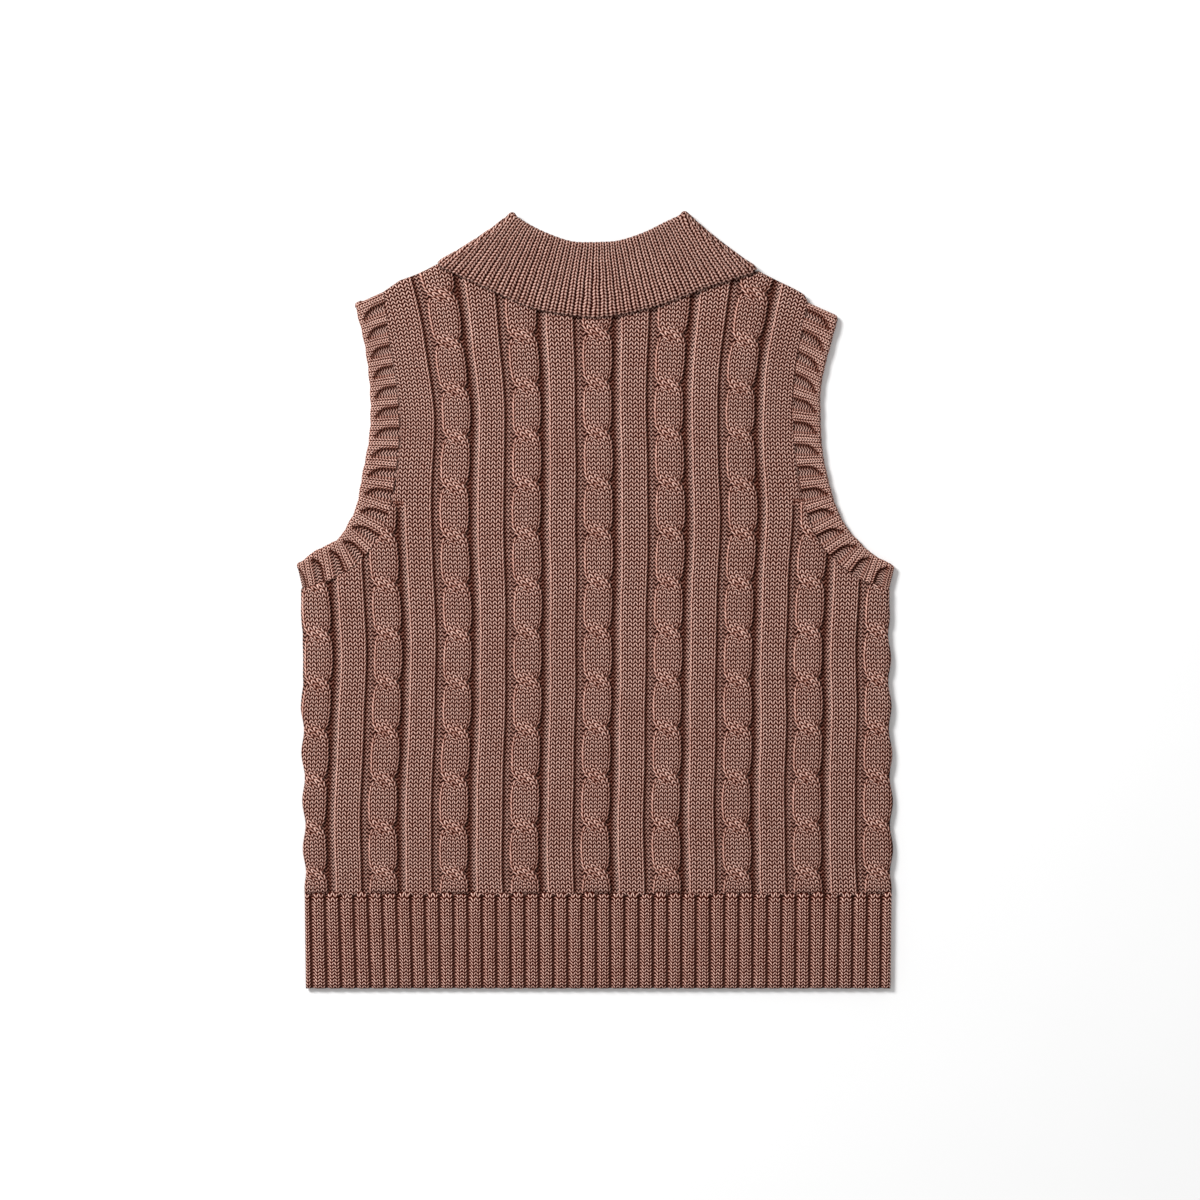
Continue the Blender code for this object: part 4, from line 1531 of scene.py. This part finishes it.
class KNIT_OT_collar(bpy.types.Operator):
    """Knit the folded collar"""

    bl_idname = "knit.collar"
    bl_label = "Knit the collar"

    def execute(self, context):
        relief = context.scene.knit_relief
        yarn = context.scene.knit_yarn
        collar = cloth("folded_collar", [collar_weave(relief)],
                       yarn_finish("collar_yarn", yarn, gap_depth=0.85, shade=0.79))
        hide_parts("collar")
        return {"FINISHED"}


class KNIT_OT_stage(bpy.types.Operator):
    """Set up the pale floor, the soft light and the camera above the garment"""

    bl_idname = "knit.stage"
    bl_label = "Set up the studio"

    def execute(self, context):
        studio = context.scene.knit_studio
        add_floor()
        add_lights(context.scene, studio)
        add_camera(context.scene, studio)
        return {"FINISHED"}


def add_floor():
    """A wide pale floor at the height that the garment rests on."""
    plane = bmesh.new()
    bmesh.ops.create_grid(plane, x_segments=1, y_segments=1, size=FLOOR_REACH)
    mesh = bpy.data.meshes.new("floor")
    plane.to_mesh(mesh)
    plane.free()
    mesh.materials.append(floor_finish())
    floor = bpy.data.objects.new("floor", mesh)
    bpy.context.collection.objects.link(floor)


def add_area_light(name, place, size, power):
    """A square area light that faces the garment's middle."""
    light = bpy.data.lights.new(name, "AREA")
    light.shape = "SQUARE"
    light.size = size
    light.energy = power
    lamp = bpy.data.objects.new(name, light)
    bpy.context.collection.objects.link(lamp)
    lamp.location = place
    lamp.rotation_euler = (-Vector(place)).to_track_quat("-Z", "Y").to_euler()


def add_lights(scene, studio):
    """A soft key light from the upper left and an even fill."""
    add_area_light("key_light", KEY_PLACE, KEY_SIZE, studio.key_power)
    world = bpy.data.worlds.new("studio_air")
    world.use_nodes = True
    air = world.node_tree.nodes["Background"]
    air.inputs["Color"].default_value = (1, 1, 1, 1)
    air.inputs["Strength"].default_value = studio.fill
    scene.world = world
    scene.view_settings.view_transform = "Standard"


def add_camera(scene, studio):
    """A long lens straight above, framing the garment a little left of the middle."""
    low, high = CAD_BOX
    camera = bpy.data.cameras.new("camera")
    camera.lens = camera.sensor_width * studio.camera_height / studio.view_width
    camera.clip_end = 50
    eye = bpy.data.objects.new("camera", camera)
    bpy.context.collection.objects.link(eye)
    middle = (Vector(low) + Vector(high)) / 2
    eye.location = (middle.x + AIM_X, middle.y + AIM_Y, studio.camera_height)
    scene.camera = eye


class KNIT_PT_garment(bpy.types.Panel):
    """Knitting steps and their settings"""

    bl_label = "Cable-knit polo"
    bl_idname = "KNIT_PT_garment"
    bl_space_type = "VIEW_3D"
    bl_region_type = "UI"
    bl_category = "Knitwear"

    def draw(self, context):
        layout = self.layout
        for settings in GROUPS:
            group = getattr(context.scene, settings)
            box = layout.box()
            for name in group.__annotations__:
                box.prop(group, name)
        for operator in OPERATORS:
            layout.operator(operator.bl_idname)


OPERATORS = (KNIT_OT_body, KNIT_OT_hem, KNIT_OT_bands, KNIT_OT_collar, KNIT_OT_stage)
GROUPS = {"knit_yarn": YarnSettings, "knit_relief": ReliefSettings, "knit_studio": StudioSettings}
CLASSES = (*GROUPS.values(), *OPERATORS, KNIT_PT_garment)


def register():
    """Register the classes and their settings."""
    for cls in CLASSES:
        bpy.utils.register_class(cls)
    for name, group in GROUPS.items():
        setattr(bpy.types.Scene, name, PointerProperty(type=group))


def unregister():
    """Remove the settings and the classes."""
    for name in GROUPS:
        delattr(bpy.types.Scene, name)
    for cls in reversed(CLASSES):
        bpy.utils.unregister_class(cls)


def main():
    """Make every piece and the studio."""
    register()
    bpy.ops.knit.body()
    bpy.ops.knit.hem()
    bpy.ops.knit.bands()
    bpy.ops.knit.collar()
    bpy.ops.knit.stage()


if __name__ == "__main__":
    main()
